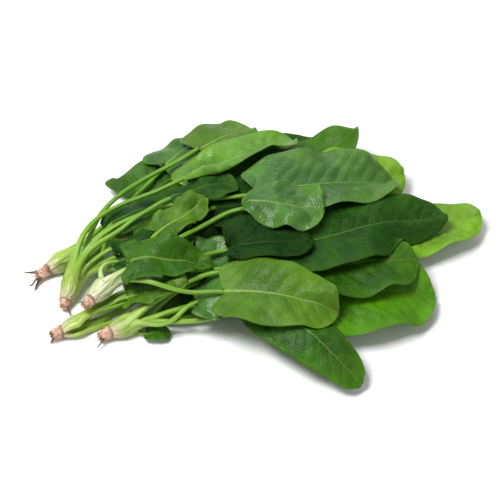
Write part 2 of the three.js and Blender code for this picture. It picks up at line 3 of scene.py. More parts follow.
import bpy
import numpy as np
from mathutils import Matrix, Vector


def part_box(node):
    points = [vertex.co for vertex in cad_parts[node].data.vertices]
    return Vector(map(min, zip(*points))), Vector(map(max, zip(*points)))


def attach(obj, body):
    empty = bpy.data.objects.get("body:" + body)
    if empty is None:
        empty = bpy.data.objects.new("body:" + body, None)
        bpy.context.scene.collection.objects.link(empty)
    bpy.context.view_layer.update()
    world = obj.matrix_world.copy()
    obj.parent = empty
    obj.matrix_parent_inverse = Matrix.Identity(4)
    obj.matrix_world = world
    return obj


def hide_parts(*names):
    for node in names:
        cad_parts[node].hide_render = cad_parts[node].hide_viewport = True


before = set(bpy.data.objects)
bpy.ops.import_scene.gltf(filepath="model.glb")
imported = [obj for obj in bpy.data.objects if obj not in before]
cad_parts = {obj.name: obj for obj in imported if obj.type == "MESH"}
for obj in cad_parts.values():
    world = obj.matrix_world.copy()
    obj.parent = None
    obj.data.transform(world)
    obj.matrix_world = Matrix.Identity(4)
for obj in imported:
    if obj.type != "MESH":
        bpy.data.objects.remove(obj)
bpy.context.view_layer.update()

# The camera stands as the photo's did. The aim is the middle of the pile's own grid, and it lies
# in the middle column of the picture, a little below the middle row.
PHOTO_SIZE = 500
VIEW_AZIMUTH = math.radians(-15)
VIEW_ELEVATION = math.radians(50)
VIEW_DISTANCE = 0.9
LENS = 100
SENSOR = 36
AIM = Vector((-0.0071, -0.0060, 0.0))
AIM_PIXEL_Y = 270


def make_camera():
    data = bpy.data.cameras.new("camera")
    data.lens = LENS
    data.sensor_width = SENSOR
    data.shift_y = (AIM_PIXEL_Y - PHOTO_SIZE / 2) / PHOTO_SIZE
    data.clip_start = 0.01
    camera = bpy.data.objects.new("camera", data)
    back = Vector(
        (
            math.sin(VIEW_AZIMUTH) * math.cos(VIEW_ELEVATION),
            -math.cos(VIEW_AZIMUTH) * math.cos(VIEW_ELEVATION),
            math.sin(VIEW_ELEVATION),
        )
    )
    camera.location = AIM + back * VIEW_DISTANCE
    camera.rotation_euler = back.to_track_quat("Z", "Y").to_euler()
    bpy.context.scene.collection.objects.link(camera)
    bpy.context.scene.camera = camera


make_camera()
bpy.context.scene.view_settings.view_transform = "Standard"

# Sizes of the solids, in millimetres
BLADE_THICKNESS = 0.7
RIB_DEPTH = 2.0
RIB_HALF_WIDTH = 1.5
RIB_TAPER = 0.6
RIB_THINNING = 0.85
LEAST_HALF_WIDTH = RIB_HALF_WIDTH * 1.25
EDGE_WAVES = 2.5
STALK_RADIUS_CROWN = 2.9
STALK_RADIUS_MIDDLE = 1.7
STALK_RADIUS_BLADE = 1.4
STALK_SPREAD = 4.4
CROWN_RADIUS = 6.8
CROWN_LENGTH = 15
CROWN_TABLE_SINK = 0.8
ROOT_RADIUS = 5.2
FUSED_REACH = 30
TOUCHING_GAP = 0.3
PILE_GAP = 0.5

# Fineness of the solids and how their pile settles
STALK_STEPS = 9
BLADE_ROWS = np.array([0, 0.06, 0.14, 0.26, 0.4, 0.54, 0.68, 0.81, 0.92, 1])
BLADE_COLUMNS = np.array([-1, -0.55, -0.001, 0, 0.001, 0.55, 1])
MIDDLE = 3
ROW_SWEEP = 1.3
CELL = 1
HALF_DIAGONAL = 0.71  # of a square
UPRIGHT = 1e-6  # a triangle that covers less of the table than this stands upright
PILE_REACH = 200
ROUNDS = 60
SMOOTHING = 0.2
BLADE_SAG = 0.03
STALK_SAG = 0.008
STALK_BOWS = [0, -5, 5, -10, 10]
BOW_RELUCTANCE = 0.5

# Sizes of the fine pieces, in millimetres
SPACING = 0.9  # between the points of a blade
FINE_THICKNESS = 0.45
FINE_GAP = 0.3
BLADE_ROUNDS = 40  # of smoothing a blade's lift
STALK_ROUNDS = 30  # of smoothing a stalk's lift
PATH_ROUNDS = 10  # of smoothing a stalk's path
RINGS_AT_BLADE = 6
ROOT_HAIRS = 6
HAIR_RADIUS = 0.28
STALK_SIDES = 14
STALK_RINGS = 56
SHEATH_RINGS = 12
SHEATH_OVERHANG = 1.4  # how far the stalks' sheaths reach back over the root
SHEATH_END_OUT = 1.7  # how far from the crown's axis they end
SHEATH_BREADTH = 0.8  # how much wider a sheath is than its stalk, as a share
STALK_INTO_BLADE = 1.2  # how far a stalk reaches under its blade, where its midrib goes on
NECK_BACK = 2.6  # where a sheath stands out furthest, behind the crown's centre
NECK_OUT = 4.7
CROWN_SIDES = 40
FINE_ROOT_RADIUS = 4.1
ROOT_SIDES = 32
TABLE_CLEARANCE = 0.05  # of stalks and roots
MM = 0.001

# Relief of the blades: heights and the spacing of their hills, in millimetres
PUFF = 0.7  # how far a blade swells between its side veins
GROOVE_DEPTH = 0.4  # of the groove over the midrib
GROOVE_WIDTH = 1.2
HILL_HEIGHT, HILL_SPACING = 0.9, 26
DIMPLE_HEIGHT, DIMPLE_SPACING = 0.3, 9
RIPPLE_HEIGHT, RIPPLE_SPACING = 0.7, 19  # the small waves of a margin
NICK_DEPTH, NICK_SPACING = 0.35, 24  # the unevenness of its outline
WRINKLE_SPACING = 12  # of a crumpled blade
LOBES = 3.4  # along one margin

# Side veins: how far apart they leave the midrib, how they slant and bend towards the tip, and
# how uneven they are, as a share of the space between them
VEIN_SPACING = 9.5
VEIN_SLANT = 0.55
VEIN_BEND = 0.013
VEIN_WOBBLE, VEIN_WOBBLE_SPACING = 0.16, 30

# Seeds of the unevenness: the first three are added to a leaf's number, so that no two are alike
VEIN_SEED = 100
HILL_SEED = 200
RIPPLE_SEED = 300
WRINKLE_SEED = 77

# Profiles of a solid crown and root from where they meet, as shares of length and of radius
CROWN_AT = [0, 0.22, 0.5, 0.78, 1]
CROWN_PROFILE = [0.66, 0.93, 1, 0.95, 0.8]
ROOT_AT = [0, 0.35, 0.75, 1]
ROOT_PROFILE = [1, 0.9, 0.84, 0.6]

# Outlines of the blades: where the margin is at each share of the length, as a share of the
# length and of half the width
OUTLINE_AT = [0, 0.06, 0.2, 0.4, 0.6, 0.8, 0.93, 1]
OUTLINES = {
    "oval": {
        "along": [-0.012, -0.07, 0.1, 0.37, 0.61, 0.85, 0.965, 1],
        "out": [0.09, 0.62, 0.95, 1, 0.93, 0.66, 0.33, 0.05],
    },
    "arrow": {
        "along": [-0.02, -0.11, 0.04, 0.34, 0.6, 0.84, 0.96, 1],
        "out": [0.09, 0.78, 1, 0.9, 0.76, 0.5, 0.23, 0.04],
    },
    "spoon": {
        "along": [-0.008, -0.01, 0.16, 0.4, 0.64, 0.88, 0.98, 1],
        "out": [0.09, 0.3, 0.66, 0.92, 1, 0.86, 0.46, 0.06],
    },
}

# Where each crown lies, where it heads and how far it climbs, in degrees, the length of its root,
# and its side roots: the angle round the root at which each leaves, and its length. A plant may be
# pale at its crown, and the one with the fewest sheaths has a core between them.
PLANTS = {
    "a": dict(at=(-116, 9), heading=62, pitch=12, root=7, rootlets=[(200, 5)]),
    "b": dict(
        at=(-118, 33),
        heading=22,
        pitch=4,
        root=11,
        rootlets=[(150, 12), (215, 10), (20, 9)],
        core=True,
    ),
    "c": dict(at=(-98, -9), heading=34, pitch=8, root=9, rootlets=[(160, 5)], pale=1),
    "d": dict(at=(-118, -21), heading=8, pitch=2, root=9, rootlets=[(120, 4), (240, 5)]),
    "e": dict(at=(-89, -29), heading=12, pitch=2, root=10, rootlets=[(200, 6)]),
}

# The side towards the camera is folded under: what shows of it is narrow and curls down.
FOLDED_UNDER = dict(
    narrow=0.5,
    narrow_side=-1,
    curl=dict(side=-1, start=2.5, radius=5, angle=1.2, share_from=-0.3, share_to=0.8),
)
# The side towards the camera hangs down from a crease near the tip.
FOLDED_TIP = dict(curl=dict(side=-1, start=1.5, radius=3, angle=1.15, share_from=0.5, share_to=0.95))

# The tip begins to round off early and ends wide.
BLUNT = dict(tip_from=0.5, tip_power=0.32)

# What shapes a leaf where its row doesn't say otherwise
LEAF_SHAPE = dict(
    arch=3,  # how high its middle rises
    fold=8,  # how steeply both sides rise from the midrib, in degrees
    roll=0,  # how far it leans to one side, in degrees
    wave=2,  # the height of the margin's waves
    tip_up=0,  # how far its tip turns up
    lift=0,  # how high it starts above the pile
    curl=None,  # how one side bends down
    crumple=0,  # the height of its wrinkles
    narrow=1,  # how wide its narrow side is, as a share
    narrow_side=0,
    lobes=0,  # how far the margin's lobes stand out
    tip_from=0.74,  # where the tip begins to round off, as a share of the length
    tip_power=0.55,  # the less, the blunter the tip
)

# Name, base, tip, width, outline, the colour of the blade, and what shapes it, from the table up. Some of
# the colours are painted shade or painted light.
LEAVES = [
    ("b1", (-62, 74), (2, 102), 48, "arrow", "grass", dict(wave=3, lobes=3.5)),
    ("d1", (-10, 26), (70, 50), 54, "oval", "dark", dict(wave=3)),
    ("d2", (-62, -20), (-24, -29), 26, "oval", "olive", dict()),
    ("b2", (12, 74), (82, 90), 44, "oval", "dark", dict(wave=3, tip_up=-4)),
    ("d3", (-44, -8), (28, -6), 42, "oval", "dark", dict(fold=9, wave=3)),
    ("e1", (-76, -36), (-62, -41), 13, "oval", "grass", dict(wave=1)),
    ("e2", (-4, -20), (84, -14), 50, "oval", "dark", dict(fold=9, wave=3)),
    ("b3", (52, -8), (157, -3), 48, "oval", "young", dict(wave=3, tip_up=6)),
    ("e3", (14, -42), (106, -56), 66, "oval", "vivid", dict(fold=4, wave=3, tip_up=-6)),
    ("e4", (-8, -46), (40, -110), 35, "oval", "grass", dict(fold=-18, tip_up=-8, wave=0)),
    ("e6", (-42, -32), (14, -44), 34, "oval", "blue", dict(fold=9, wave=3)),
    ("b4", (-36, 40), (42, 60), 46, "oval", "deep", dict(fold=10, wave=3)),
    ("b5", (-36, 92), (4, 119), 38, "arrow", "blue", dict(fold=0, roll=-24, lift=5)),
    ("a1", (4, 56), (95, 76), 42, "oval", "grass", dict(wave=3, tip_up=26)),
    ("d4", (-34, 8), (40, 22), 44, "oval", "deep", dict(fold=9, wave=3)),
    ("d5", (-50, -2), (-6, -4), 28, "oval", "blue", dict()),
    ("e5", (22, -29), (100, -36), 54, "oval", "grass", dict(fold=6, wave=4, arch=6)),
    ("a2", (24, 36), (119, 43), 50, "oval", "young", dict(fold=9, wave=3, tip_up=6)),
    ("d6", (-82, -14), (-46, -22), 24, "arrow", "olive", dict(lobes=2.5)),
    ("a7", (-82, 42), (-30, 56), 26, "oval", "dark", dict()),
    ("a3", (4, -17), (131, -5), 54, "oval", "dark", dict(fold=14, tip_up=8, **FOLDED_TIP)),
    ("a8", (-16, 30), (60, 34), 46, "oval", "deep", dict(fold=10, wave=3)),
    ("a4", (-12, 91), (32, 111), 48, "oval", "olive", dict(fold=-14, wave=1, lift=6)),
    ("a10", (-66, 22), (-30, 28), 22, "oval", "olive", dict()),
    ("c1", (-27, -37), (38, -67), 44, "oval", "olive", dict(fold=4, arch=5)),
    ("c6", (-84, 11), (-34, 8), 24, "oval", "dark", dict(lobes=2.5)),
    ("c2", (-16, -3), (36, -20), 36, "oval", "deep", dict()),
    ("a5", (14, 33), (109, 33), 58, "oval", "blue", dict(fold=4, wave=4, arch=7, **BLUNT)),
    ("a9", (-42, 40), (4, 49), 28, "spoon", "dark", dict(wave=1.5)),
    ("c3", (0, 19), (49, 2), 42, "spoon", "blue", dict(fold=-14, roll=14, wave=3, crumple=0.9)),
    ("a6", (-26, 58), (54, 83), 44, "oval", "bright", dict(fold=-12, roll=6, **FOLDED_UNDER)),
    ("c4", (-56, 13), (-21, 31), 24, "oval", "olive", dict(lobes=2.5)),
    ("c5", (-78, -4), (-27, -13), 29, "arrow", "grass", dict(fold=5, arch=5, lobes=3.5)),
]

# Colours of the blades: the green of the upper face, its roughness, how much it shines and how
# far its veins are paler
BLADE_COLOURS = {
    "blue": ((0.048, 0.165, 0.024), 0.38, 0.42, 0.5),
    "bright": ((0.095, 0.270, 0.012), 0.36, 0.42, 0.6),
    # Dark green, made darker still as painted shade for leaves that lie among the shaded ones
    "dark": ((0.009, 0.066, 0.004), 0.46, 0.13, 0.22),
    # Near black: painted shade, for leaves that lie in the shaded gaps between the others
    "deep": ((0.005, 0.034, 0.003), 0.60, 0.08, 0.08),
    "grass": ((0.021, 0.108, 0.002), 0.46, 0.20, 0.40),
    "olive": ((0.068, 0.180, 0.008), 0.46, 0.24, 0.6),
    "vivid": ((0.072, 0.250, 0.002), 0.50, 0.20, 0.3),
    # Pale yellow-green of young leaves, brightened as painted light shining through them from behind
    "young": ((0.185, 0.400, 0.020), 0.44, 0.25, 0.5),
}


class Record:
    """A plant or a leaf, with its given values and defaults as attributes."""

    def __init__(self, **values):
        self.__dict__.update(values)


def make_records():
    start = dict(centre=None, pale=0, core=False)
    plants = {key: Record(key=key, **{**start, **values}) for key, values in PLANTS.items()}
    leaves = []
    for name, base, tip, width, outline, colour, given in LEAVES:
        values = {**LEAF_SHAPE, **given}
        leaves.append(
            Record(
                name=name,
                base=np.array([*base, 0.0]),
                tip=np.array([*tip, 0.0]),
                length=math.hypot(tip[0] - base[0], tip[1] - base[1]),
                width=width,
                outline=OUTLINES[outline],
                colour=colour,
                plant=plants[name[0]],
                **values,
            )
        )
    for key in plants:
        own = [leaf for leaf in leaves if leaf.name[0] == key]
        for k, leaf in enumerate(own):
            leaf.rank = k / (len(own) - 1)
    return plants, leaves


def unit(v):
    return v / np.linalg.norm(v)


def between(start, leave, end, arrive, u):
    """Places at the shares u of a smooth curve that leaves its start and arrives at its end."""
    return (
        start * (2 * u**3 - 3 * u**2 + 1)
        + leave * (u**3 - 2 * u**2 + u)
        + end * (3 * u**2 - 2 * u**3)
        + arrive * (u**3 - u**2)
    )


def smooth_through(knots, values, t):
    """Value at t, a number or an array, of a smooth curve through the values at the knots."""
    knots = np.asarray(knots, float)
    values = np.asarray(values, float)
    t = np.asarray(t, float)
    slopes = np.empty_like(values)
    wide = (knots[2:] - knots[:-2]).reshape(-1, *[1] * (values.ndim - 1))
    slopes[1:-1] = (values[2:] - values[:-2]) / wide
    slopes[0] = (values[1] - values[0]) / (knots[1] - knots[0])
    slopes[-1] = (values[-1] - values[-2]) / (knots[-1] - knots[-2])
    k = np.clip(np.searchsorted(knots, t, side="left") - 1, 0, len(knots) - 2)
    extra = (1,) * (values.ndim - 1)
    span = (knots[k + 1] - knots[k]).reshape(t.shape + extra)
    u = (t - knots[k]).reshape(t.shape + extra) / span
    return between(values[k], slopes[k] * span, values[k + 1], slopes[k + 1] * span, u)


def over_triangle(a, b, c):
    """The window of squares round a triangle, which of them it touches, and its heights there.

    There is none where the triangle stands upright.
    """
    cross = (b[0] - a[0]) * (c[1] - a[1]) - (b[1] - a[1]) * (c[0] - a[0])
    if abs(cross) < UPRIGHT:
        return None
    slope_x = ((b[2] - a[2]) * (c[1] - a[1]) - (c[2] - a[2]) * (b[1] - a[1])) / cross
    slope_y = ((c[2] - a[2]) * (b[0] - a[0]) - (b[2] - a[2]) * (c[0] - a[0])) / cross
    rise = (abs(slope_x) + abs(slope_y)) * CELL * 0.5
    floor = min(a[2], b[2], c[2])
    top = max(a[2], b[2], c[2])
    side = 1 if cross > 0 else -1
    x0, y0 = (math.floor((min(v) - CELL + PILE_REACH) / CELL) for v in zip(a[:2], b[:2], c[:2]))
    x1, y1 = (math.floor((max(v) + CELL + PILE_REACH) / CELL) for v in zip(a[:2], b[:2], c[:2]))
    x = (np.arange(x0, x1 + 1) + 0.5) * CELL - PILE_REACH
    y = ((np.arange(y0, y1 + 1) + 0.5) * CELL - PILE_REACH)[:, None]
    touched = np.ones((y1 - y0 + 1, x1 - x0 + 1), bool)
    for p, q in ((a, b), (b, c), (c, a)):
        dx, dy = q[0] - p[0], q[1] - p[1]
        reach = -HALF_DIAGONAL * CELL * (math.hypot(dx, dy) or 1.0)
        touched &= side * (dx * (y - p[1]) - dy * (x - p[0])) >= reach
    z = a[2] + slope_x * (x - a[0]) + slope_y * (y - a[1])
    low = np.clip(z - rise, floor, top)
    high = np.clip(z + rise, floor, top)
    return (slice(y0, y1 + 1), slice(x0, x1 + 1)), touched, low, high


class Pile:
    """The height of what lies under each small square of the table.

    Layer 0 holds everything. Each plant has a layer that leaves out its own stalks near its crown,
    because they grow together there.
    """

    def __init__(self):
        across = 2 * PILE_REACH // CELL
        self.heights = np.zeros((1 + len(PLANTS), across, across), np.float32)
        self.layer = {key: 1 + k for k, key in enumerate(PLANTS)}

    def add(self, triangle, skip=None):
        found = over_triangle(*triangle)
        if found is None:
            return
        window, touched, _, high = found
        for k, heights in enumerate(self.heights):
            if k != skip:
                part = heights[window]
                np.maximum(part, high, out=part, where=touched, casting="same_kind")

    def needed(self, triangle, layer):
        """How far a triangle must rise to lie clear of the pile."""
        found = over_triangle(*triangle)
        if found is None:
            return -math.inf
        window, touched, low, _ = found
        height = self.heights[layer][window][touched].astype(float)
        if not len(height):
            return -math.inf
        return float((np.where(height > 0, height + PILE_GAP, 0) - low[touched]).max())


def strip(start, end, radius_start, radius_end, side):
    """The flat strip that a stretch of stalk covers, as two triangles at its top or underside."""
    along = unit(np.array([end[0] - start[0], end[1] - start[1], 0.0]))
    left = np.array([-along[1], along[0], 0.0])
    up = np.array([0, 0, 1.0])
    corners = []
    for p, radius in ((start, radius_start), (end, radius_end)):
        for turn in (1, -1):
            corners.append((p + left * radius * turn + up * side * radius).tolist())
    a, b, c, d = corners
    return [(a, b, c), (b, d, c)]


def strips(points, radii, side):
    pairs = zip(points, points[1:], radii, radii[1:])
    return [triangle for p, q, r, s in pairs for triangle in strip(p, q, r, s, side)]


def stalk_radius(u):
    return smooth_through([0, 0.3, 1], [STALK_RADIUS_CROWN, STALK_RADIUS_MIDDLE, STALK_RADIUS_BLADE], u)


STALK_SHARES = np.arange(STALK_STEPS + 1) / STALK_STEPS
STALK_RADII = stalk_radius(STALK_SHARES).tolist()


def axis_points(plant, distances):
    return [plant.centre + plant.axis * distance for distance in distances]


def lay_crown(pile, plant):
    """Lowers a crown with its root until it lies on the table or on the pile."""
    turn = math.radians(plant.heading)
    climb = math.radians(plant.pitch)
    plant.axis = np.array(
        [math.cos(turn) * math.cos(climb), math.sin(turn) * math.cos(climb), math.sin(climb)]
    )
    plant.left = np.array([-math.sin(turn), math.cos(turn), 0.0])
    plant.up = np.cross(plant.axis, plant.left)
    plant.centre = np.array([*plant.at, CROWN_RADIUS - CROWN_TABLE_SINK], float)
    back = -CROWN_LENGTH / 2
    crown_at = [back + share * CROWN_LENGTH for share in CROWN_AT]
    crown_radii = [share * CROWN_RADIUS for share in CROWN_PROFILE]
    root_at = [back - TOUCHING_GAP - share * plant.root for share in ROOT_AT]
    root_radii = [share * ROOT_RADIUS for share in ROOT_PROFILE]
    own = pile.layer[plant.key]
    below = strips(axis_points(plant, crown_at), [r - CROWN_TABLE_SINK for r in crown_radii], -1)
    below += strips(axis_points(plant, root_at), root_radii, -1)
    plant.centre[2] += max(0.0, *[pile.needed(triangle, own) for triangle in below])
    above = strips(axis_points(plant, crown_at), crown_radii, 1)
    above += strips(axis_points(plant, root_at), root_radii, 1)
    for triangle in above:
        pile.add(triangle, skip=own)


def stalk_root(plant, leaf):
    """Which side of its crown's axis a leaf's stalk leaves from, as a unit vector."""
    to_blade = leaf.base - plant.centre
    to_blade[2] = 0
    sideways = np.sign(to_blade @ plant.left) or 1
    turn = (leaf.rank - 0.5) * math.pi
    return plant.left * sideways * math.cos(turn) + plant.up * math.sin(turn)


def stalk_path(plant, leaf, blade_base, blade_start, bow):
    """The stalk from the crown to the blade's base, bowed to the left, before it is laid."""
    to_blade = leaf.base - plant.centre
    to_blade[2] = 0
    start = plant.centre + plant.axis * CROWN_LENGTH * 0.1 + stalk_root(plant, leaf) * STALK_SPREAD
    reach = np.linalg.norm(to_blade)
    leave = plant.axis * reach * 0.9
    arrive = blade_start * reach * 0.9
    left = unit(np.array([-to_blade[1], to_blade[0], 0.0]))
    u = STALK_SHARES[:, None]
    points = between(start, leave, blade_base, arrive, u) + left * bow * np.sin(math.pi * u) ** 2
    points[:, 2] = np.maximum(points[:, 2], STALK_RADII)
    return points


def stalk_needs(pile, path, layer):
    needs = np.zeros(len(path))
    for k in range(len(path) - 1):
        for triangle in strip(path[k], path[k + 1], STALK_RADII[k], STALK_RADII[k + 1], -1):
            need = pile.needed(triangle, layer)
            needs[k] = max(needs[k], need)
            needs[k + 1] = max(needs[k + 1], need)
    return needs


def lowest_stalk(pile, plant, leaf, blade_base, blade_start):
    """Of the stalk's possible bows, the one that has to rise least over what lies there."""
    least = math.inf
    for bow in STALK_BOWS:
        path = stalk_path(plant, leaf, blade_base, blade_start, bow)
        effort = stalk_needs(pile, path, pile.layer[plant.key]).sum() + BOW_RELUCTANCE * abs(bow)
        if effort < least:
            least = effort
            best = path
    return best


def blade_place(leaf, share, column, least_margin):
    """How far along the midrib a point of the blade lies, and half the blade's width there.

    column runs from -1 at one margin to 1 at the other, and 0 is the midrib.
    """
    margin_along = smooth_through(OUTLINE_AT, leaf.outline["along"], share) * leaf.length
    margin_out = smooth_through(OUTLINE_AT, leaf.outline["out"], share) * leaf.width / 2
    margin_out = np.maximum(margin_out, least_margin)
    beyond = np.abs(column)
    along = share * leaf.length + (margin_along - share * leaf.length) * beyond**ROW_SWEEP
    return along, margin_out


def placed(leaf, along, out, z):
    """Points of a blade from their distances along and beside its midrib and their heights."""
    direction = unit(leaf.tip - leaf.base)
    x = leaf.base[0] + direction[0] * along - direction[1] * out
    y = leaf.base[1] + direction[1] * along + direction[0] * out
    return np.stack([x, y, z], axis=-1)


def coarse_blade(leaf):
    """The blade's upper face in its natural shape, as if nothing lay under it."""
    share = BLADE_ROWS[:, None]
    beyond = np.abs(BLADE_COLUMNS) * (np.abs(BLADE_COLUMNS) > 0.5)
    side = np.sign(BLADE_COLUMNS)
    along, margin_out = blade_place(leaf, share, beyond, LEAST_HALF_WIDTH)
    rib = RIB_HALF_WIDTH * (1 - RIB_TAPER * share)
    across = side * (rib + (margin_out - rib) * beyond)
    edge = across / margin_out
    slope = np.radians(leaf.fold + side * leaf.roll)
    out = across * np.cos(slope)
    phase = leaf.base[0] * 0.7 + leaf.tip[1] * 0.3 + side
    ripple = leaf.wave * np.sin(2 * math.pi * EDGE_WAVES * share + phase) * edge**2
    lifted = leaf.arch * np.sin(math.pi * share) + leaf.tip_up * np.maximum(0, share * 2 - 1) ** 2
    return placed(leaf, along, out, lifted + np.abs(across) * np.sin(slope) + ripple)


def face_normals(grid):
    """Unit normals at the points of a grid, from the points on either side."""
    rows = np.arange(grid.shape[0])
    columns = np.arange(grid.shape[1])
    along = grid[np.minimum(rows + 1, rows[-1])] - grid[np.maximum(rows - 1, 0)]
    across = grid[:, np.minimum(columns + 1, columns[-1])] - grid[:, np.maximum(columns - 1, 0)]
    normals = np.cross(along, across)
    return normals / np.maximum(np.linalg.norm(normals, axis=-1, keepdims=True), 1e-12)


def underside(grid):
    """Underside of a coarse blade, with the rib below its middle column."""
    upright = np.maximum(0.4, np.abs(face_normals(grid)[..., 2]))
    lower = grid.copy()
    lower[..., 2] -= BLADE_THICKNESS / upright
    lower[:, MIDDLE, 2] -= RIB_DEPTH * (1 - RIB_THINNING * BLADE_ROWS)
    return lower


def face_triangles():
    """Corner numbers of the triangles of a coarse blade's face, mirrored about the midrib."""
    columns = len(BLADE_COLUMNS)
    triangles = []
    for i in range(len(BLADE_ROWS) - 1):
        for j in range(columns - 1):
            near = i * columns + j
            far = near + columns
            if j < MIDDLE:
                triangles += [(near, near + 1, far), (near + 1, far + 1, far)]
            else:
                triangles += [(near, near + 1, far + 1), (near, far + 1, far)]
    return triangles


FACE_TRIANGLES = face_triangles()


def leaf_links():
    """Which points of a coarse leaf pull at each other as it settles, as a square of ones."""
    stalk = STALK_STEPS + 1
    rows, columns = len(BLADE_ROWS), len(BLADE_COLUMNS)
    links = np.zeros((stalk + rows * columns,) * 2)
    pairs = [(k, k + 1) for k in range(stalk - 1)]
    pairs.append((stalk - 1, stalk + MIDDLE))
    for i in range(rows):
        for j in range(columns):
            here = stalk + i * columns + j
            if i + 1 < rows:
                pairs.append((here, here + columns))
            if j + 1 < columns:
                pairs.append((here, here + 1))
    for p, q in pairs:
        links[p, q] = links[q, p] = 1
    return links


LEAF_LINKS = leaf_links()


def leaf_needs(pile, points, plant):
    stalk = STALK_STEPS + 1
    needs = np.zeros(len(points))
    needs[:stalk] = stalk_needs(pile, points[:stalk], pile.layer[plant.key])
    lower = underside(points[stalk:].reshape(len(BLADE_ROWS), -1, 3)).reshape(-1, 3).tolist()
    for corners in FACE_TRIANGLES:
        need = pile.needed([lower[k] for k in corners], 0)
        for k in corners:
            needs[stalk + k] = max(needs[stalk + k], need)
    joint = max(needs[stalk - 1], needs[stalk + MIDDLE])
    needs[stalk - 1] = needs[stalk + MIDDLE] = joint
    return needs


def lay_leaf(pile, leaf):
    """Lays a coarse leaf over the pile and keeps its stalk's points and its blade's upper face."""
    plant = leaf.plant
    if plant.centre is None:
        lay_crown(pile, plant)
    natural = coarse_blade(leaf)
    natural[..., 2] += leaf.lift - underside(natural)[..., 2].min()
    base_top = natural[0, MIDDLE]
    blade_start = unit(natural[1, MIDDLE] - base_top)
    leaf.direction = unit(leaf.tip - leaf.base)
    blade_base = base_top - leaf.direction * TOUCHING_GAP - np.array([0, 0, STALK_RADIUS_BLADE])
    stalk = lowest_stalk(pile, plant, leaf, blade_base, blade_start)
    points = np.concatenate([stalk, natural.reshape(-1, 3)])
    lifts = np.zeros(len(points), np.float32)
    sag = np.where(np.arange(len(points)) < len(stalk), STALK_SAG, BLADE_SAG)
    degree = LEAF_LINKS.sum(axis=1)
    for last_pass in (False, False, False, True):
        raised = points.copy()
        raised[:, 2] += lifts
        least = (lifts + np.maximum(0, leaf_needs(pile, raised, plant))).astype(np.float32)
        for _ in range(0 if last_pass else ROUNDS):
            pull = LEAF_LINKS @ lifts.astype(float) - degree * lifts
            lifts = np.maximum(least, (1 - sag) * (lifts + SMOOTHING * pull)).astype(np.float32)
            lifts[0] = 0
        if last_pass:
            lifts = least
        lifts[0] = 0
    points[:, 2] += lifts
    leaf.stalk = points[: len(stalk)]
    leaf.blade = points[len(stalk) :].reshape(natural.shape)
    upper = leaf.blade.reshape(-1, 3).tolist()
    for corners in FACE_TRIANGLES:
        pile.add([upper[k] for k in corners])
    for k in range(len(stalk) - 1):
        near_crown = np.linalg.norm(leaf.stalk[k] - plant.centre) < FUSED_REACH
        skip = pile.layer[plant.key] if near_crown else None
        radii = STALK_RADII[k], STALK_RADII[k + 1]
        for triangle in strip(leaf.stalk[k], leaf.stalk[k + 1], *radii, 1):
            pile.add(triangle, skip=skip)


def lay_bunch():
    plants, leaves = make_records()
    pile = Pile()
    for leaf in leaves:
        lay_leaf(pile, leaf)
    return plants, leaves


plants, leaves = lay_bunch()


def frame_shift():
    """What takes a point of the pile to the frame, from one leaf's box in both, in millimetres."""
    leaf = next(leaf for leaf in leaves if leaf.name == "b3")
    both = np.concatenate([leaf.blade, underside(leaf.blade)]).reshape(-1, 3)
    low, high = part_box("leaf_b3")
    return (np.array(low) + np.array(high)) / 2 / MM - (both.min(axis=0) + both.max(axis=0)) / 2


SHIFT = frame_shift()


# Fine shapes


def smooth_step(value, low, high):
    share = np.clip((value - low) / (high - low), 0, 1)
    return share**2 * (3 - 2 * share)


def swell(x, y, scale, seed):
    """Smooth random hills between about -1 and 1, scale millimetres apart."""
    draw = np.random.RandomState(seed)
    total = np.zeros(np.broadcast(x, y).shape)
    for _ in range(6):
        turn = draw.uniform(0, 2 * math.pi)
        size = scale * draw.uniform(0.7, 1.5)
        start = draw.uniform(0, 2 * math.pi)
        total += np.sin((x * math.cos(turn) + y * math.sin(turn)) * 2 * math.pi / size + start)
    return total / 2.5


def rounded_tip(leaf, share, margin_out):
    """The outline's half width, with the tip rounded off."""
    fine = np.linspace(0, 1, 400)
    along = smooth_through(OUTLINE_AT, leaf.outline["along"], fine)
    out = smooth_through(OUTLINE_AT, leaf.outline["out"], fine)
    at_start = np.interp(leaf.tip_from, along, out) * leaf.width / 2
    here = np.interp(share, fine, along)
    to_tip = np.clip((here - leaf.tip_from) / (1 - leaf.tip_from), 0, 1)
    rounded = at_start * (1 - to_tip**2) ** leaf.tip_power
    return np.where(to_tip > 0, np.maximum(margin_out, rounded), margin_out)


def lobed(share, side, number):
    """Pointed lobes along a margin, up to 1 high."""
    place = share * LOBES + 0.31 * side + 0.37 * number
    tooth = place - np.floor(place)
    return (tooth**1.5 - 0.3) * np.sin(math.pi * share) ** 0.7


def curled(out, share, curl):
    """Bends one side of a blade down, round a line beside its midrib."""
    reach = out * curl.side - curl.start
    beyond = np.maximum(0, reach)
    steepest = curl.angle * smooth_step(share, curl.share_from, curl.share_from + 0.2)
    steepest = steepest * (1 - smooth_step(share, curl.share_to, 1))
    turn = np.minimum(beyond / curl.radius, steepest)
    straight = beyond - turn * curl.radius
    outward = curl.start + curl.radius * np.sin(turn) + straight * np.cos(turn)
    drop = curl.radius * (1 - np.cos(turn)) + straight * np.sin(turn)
    return np.where(reach > 0, curl.side * outward, out), -drop


def fine_columns(leaf):
    """Places from -1 to 1 across a fine blade, closer together near the midrib."""
    half = max(8, round(leaf.width / 2 / SPACING))
    even = np.linspace(-1, 1, 2 * half + 1)[None, :]
    return even * (0.65 + 0.35 * np.abs(even))


def fine_rows(leaf):
    """Shares of the length, closer together near the tip."""
    rows = max(16, round(leaf.length / SPACING)) + 1
    return 1 - (1 - np.linspace(0, 1, rows)[:, None]) ** 1.15


def fine_margin(leaf, share, side, margin_out, number):
    """Half width of a fine blade, with its rounded tip, its narrow side and its lobes."""
    margin_out = rounded_tip(leaf, share, margin_out)
    narrow = leaf.narrow + (1 - leaf.narrow) * smooth_step(share, 0.6, 0.95)
    margin_out = margin_out * np.where(side == leaf.narrow_side, narrow, 1)
    return margin_out + leaf.lobes * lobed(share, side, number)


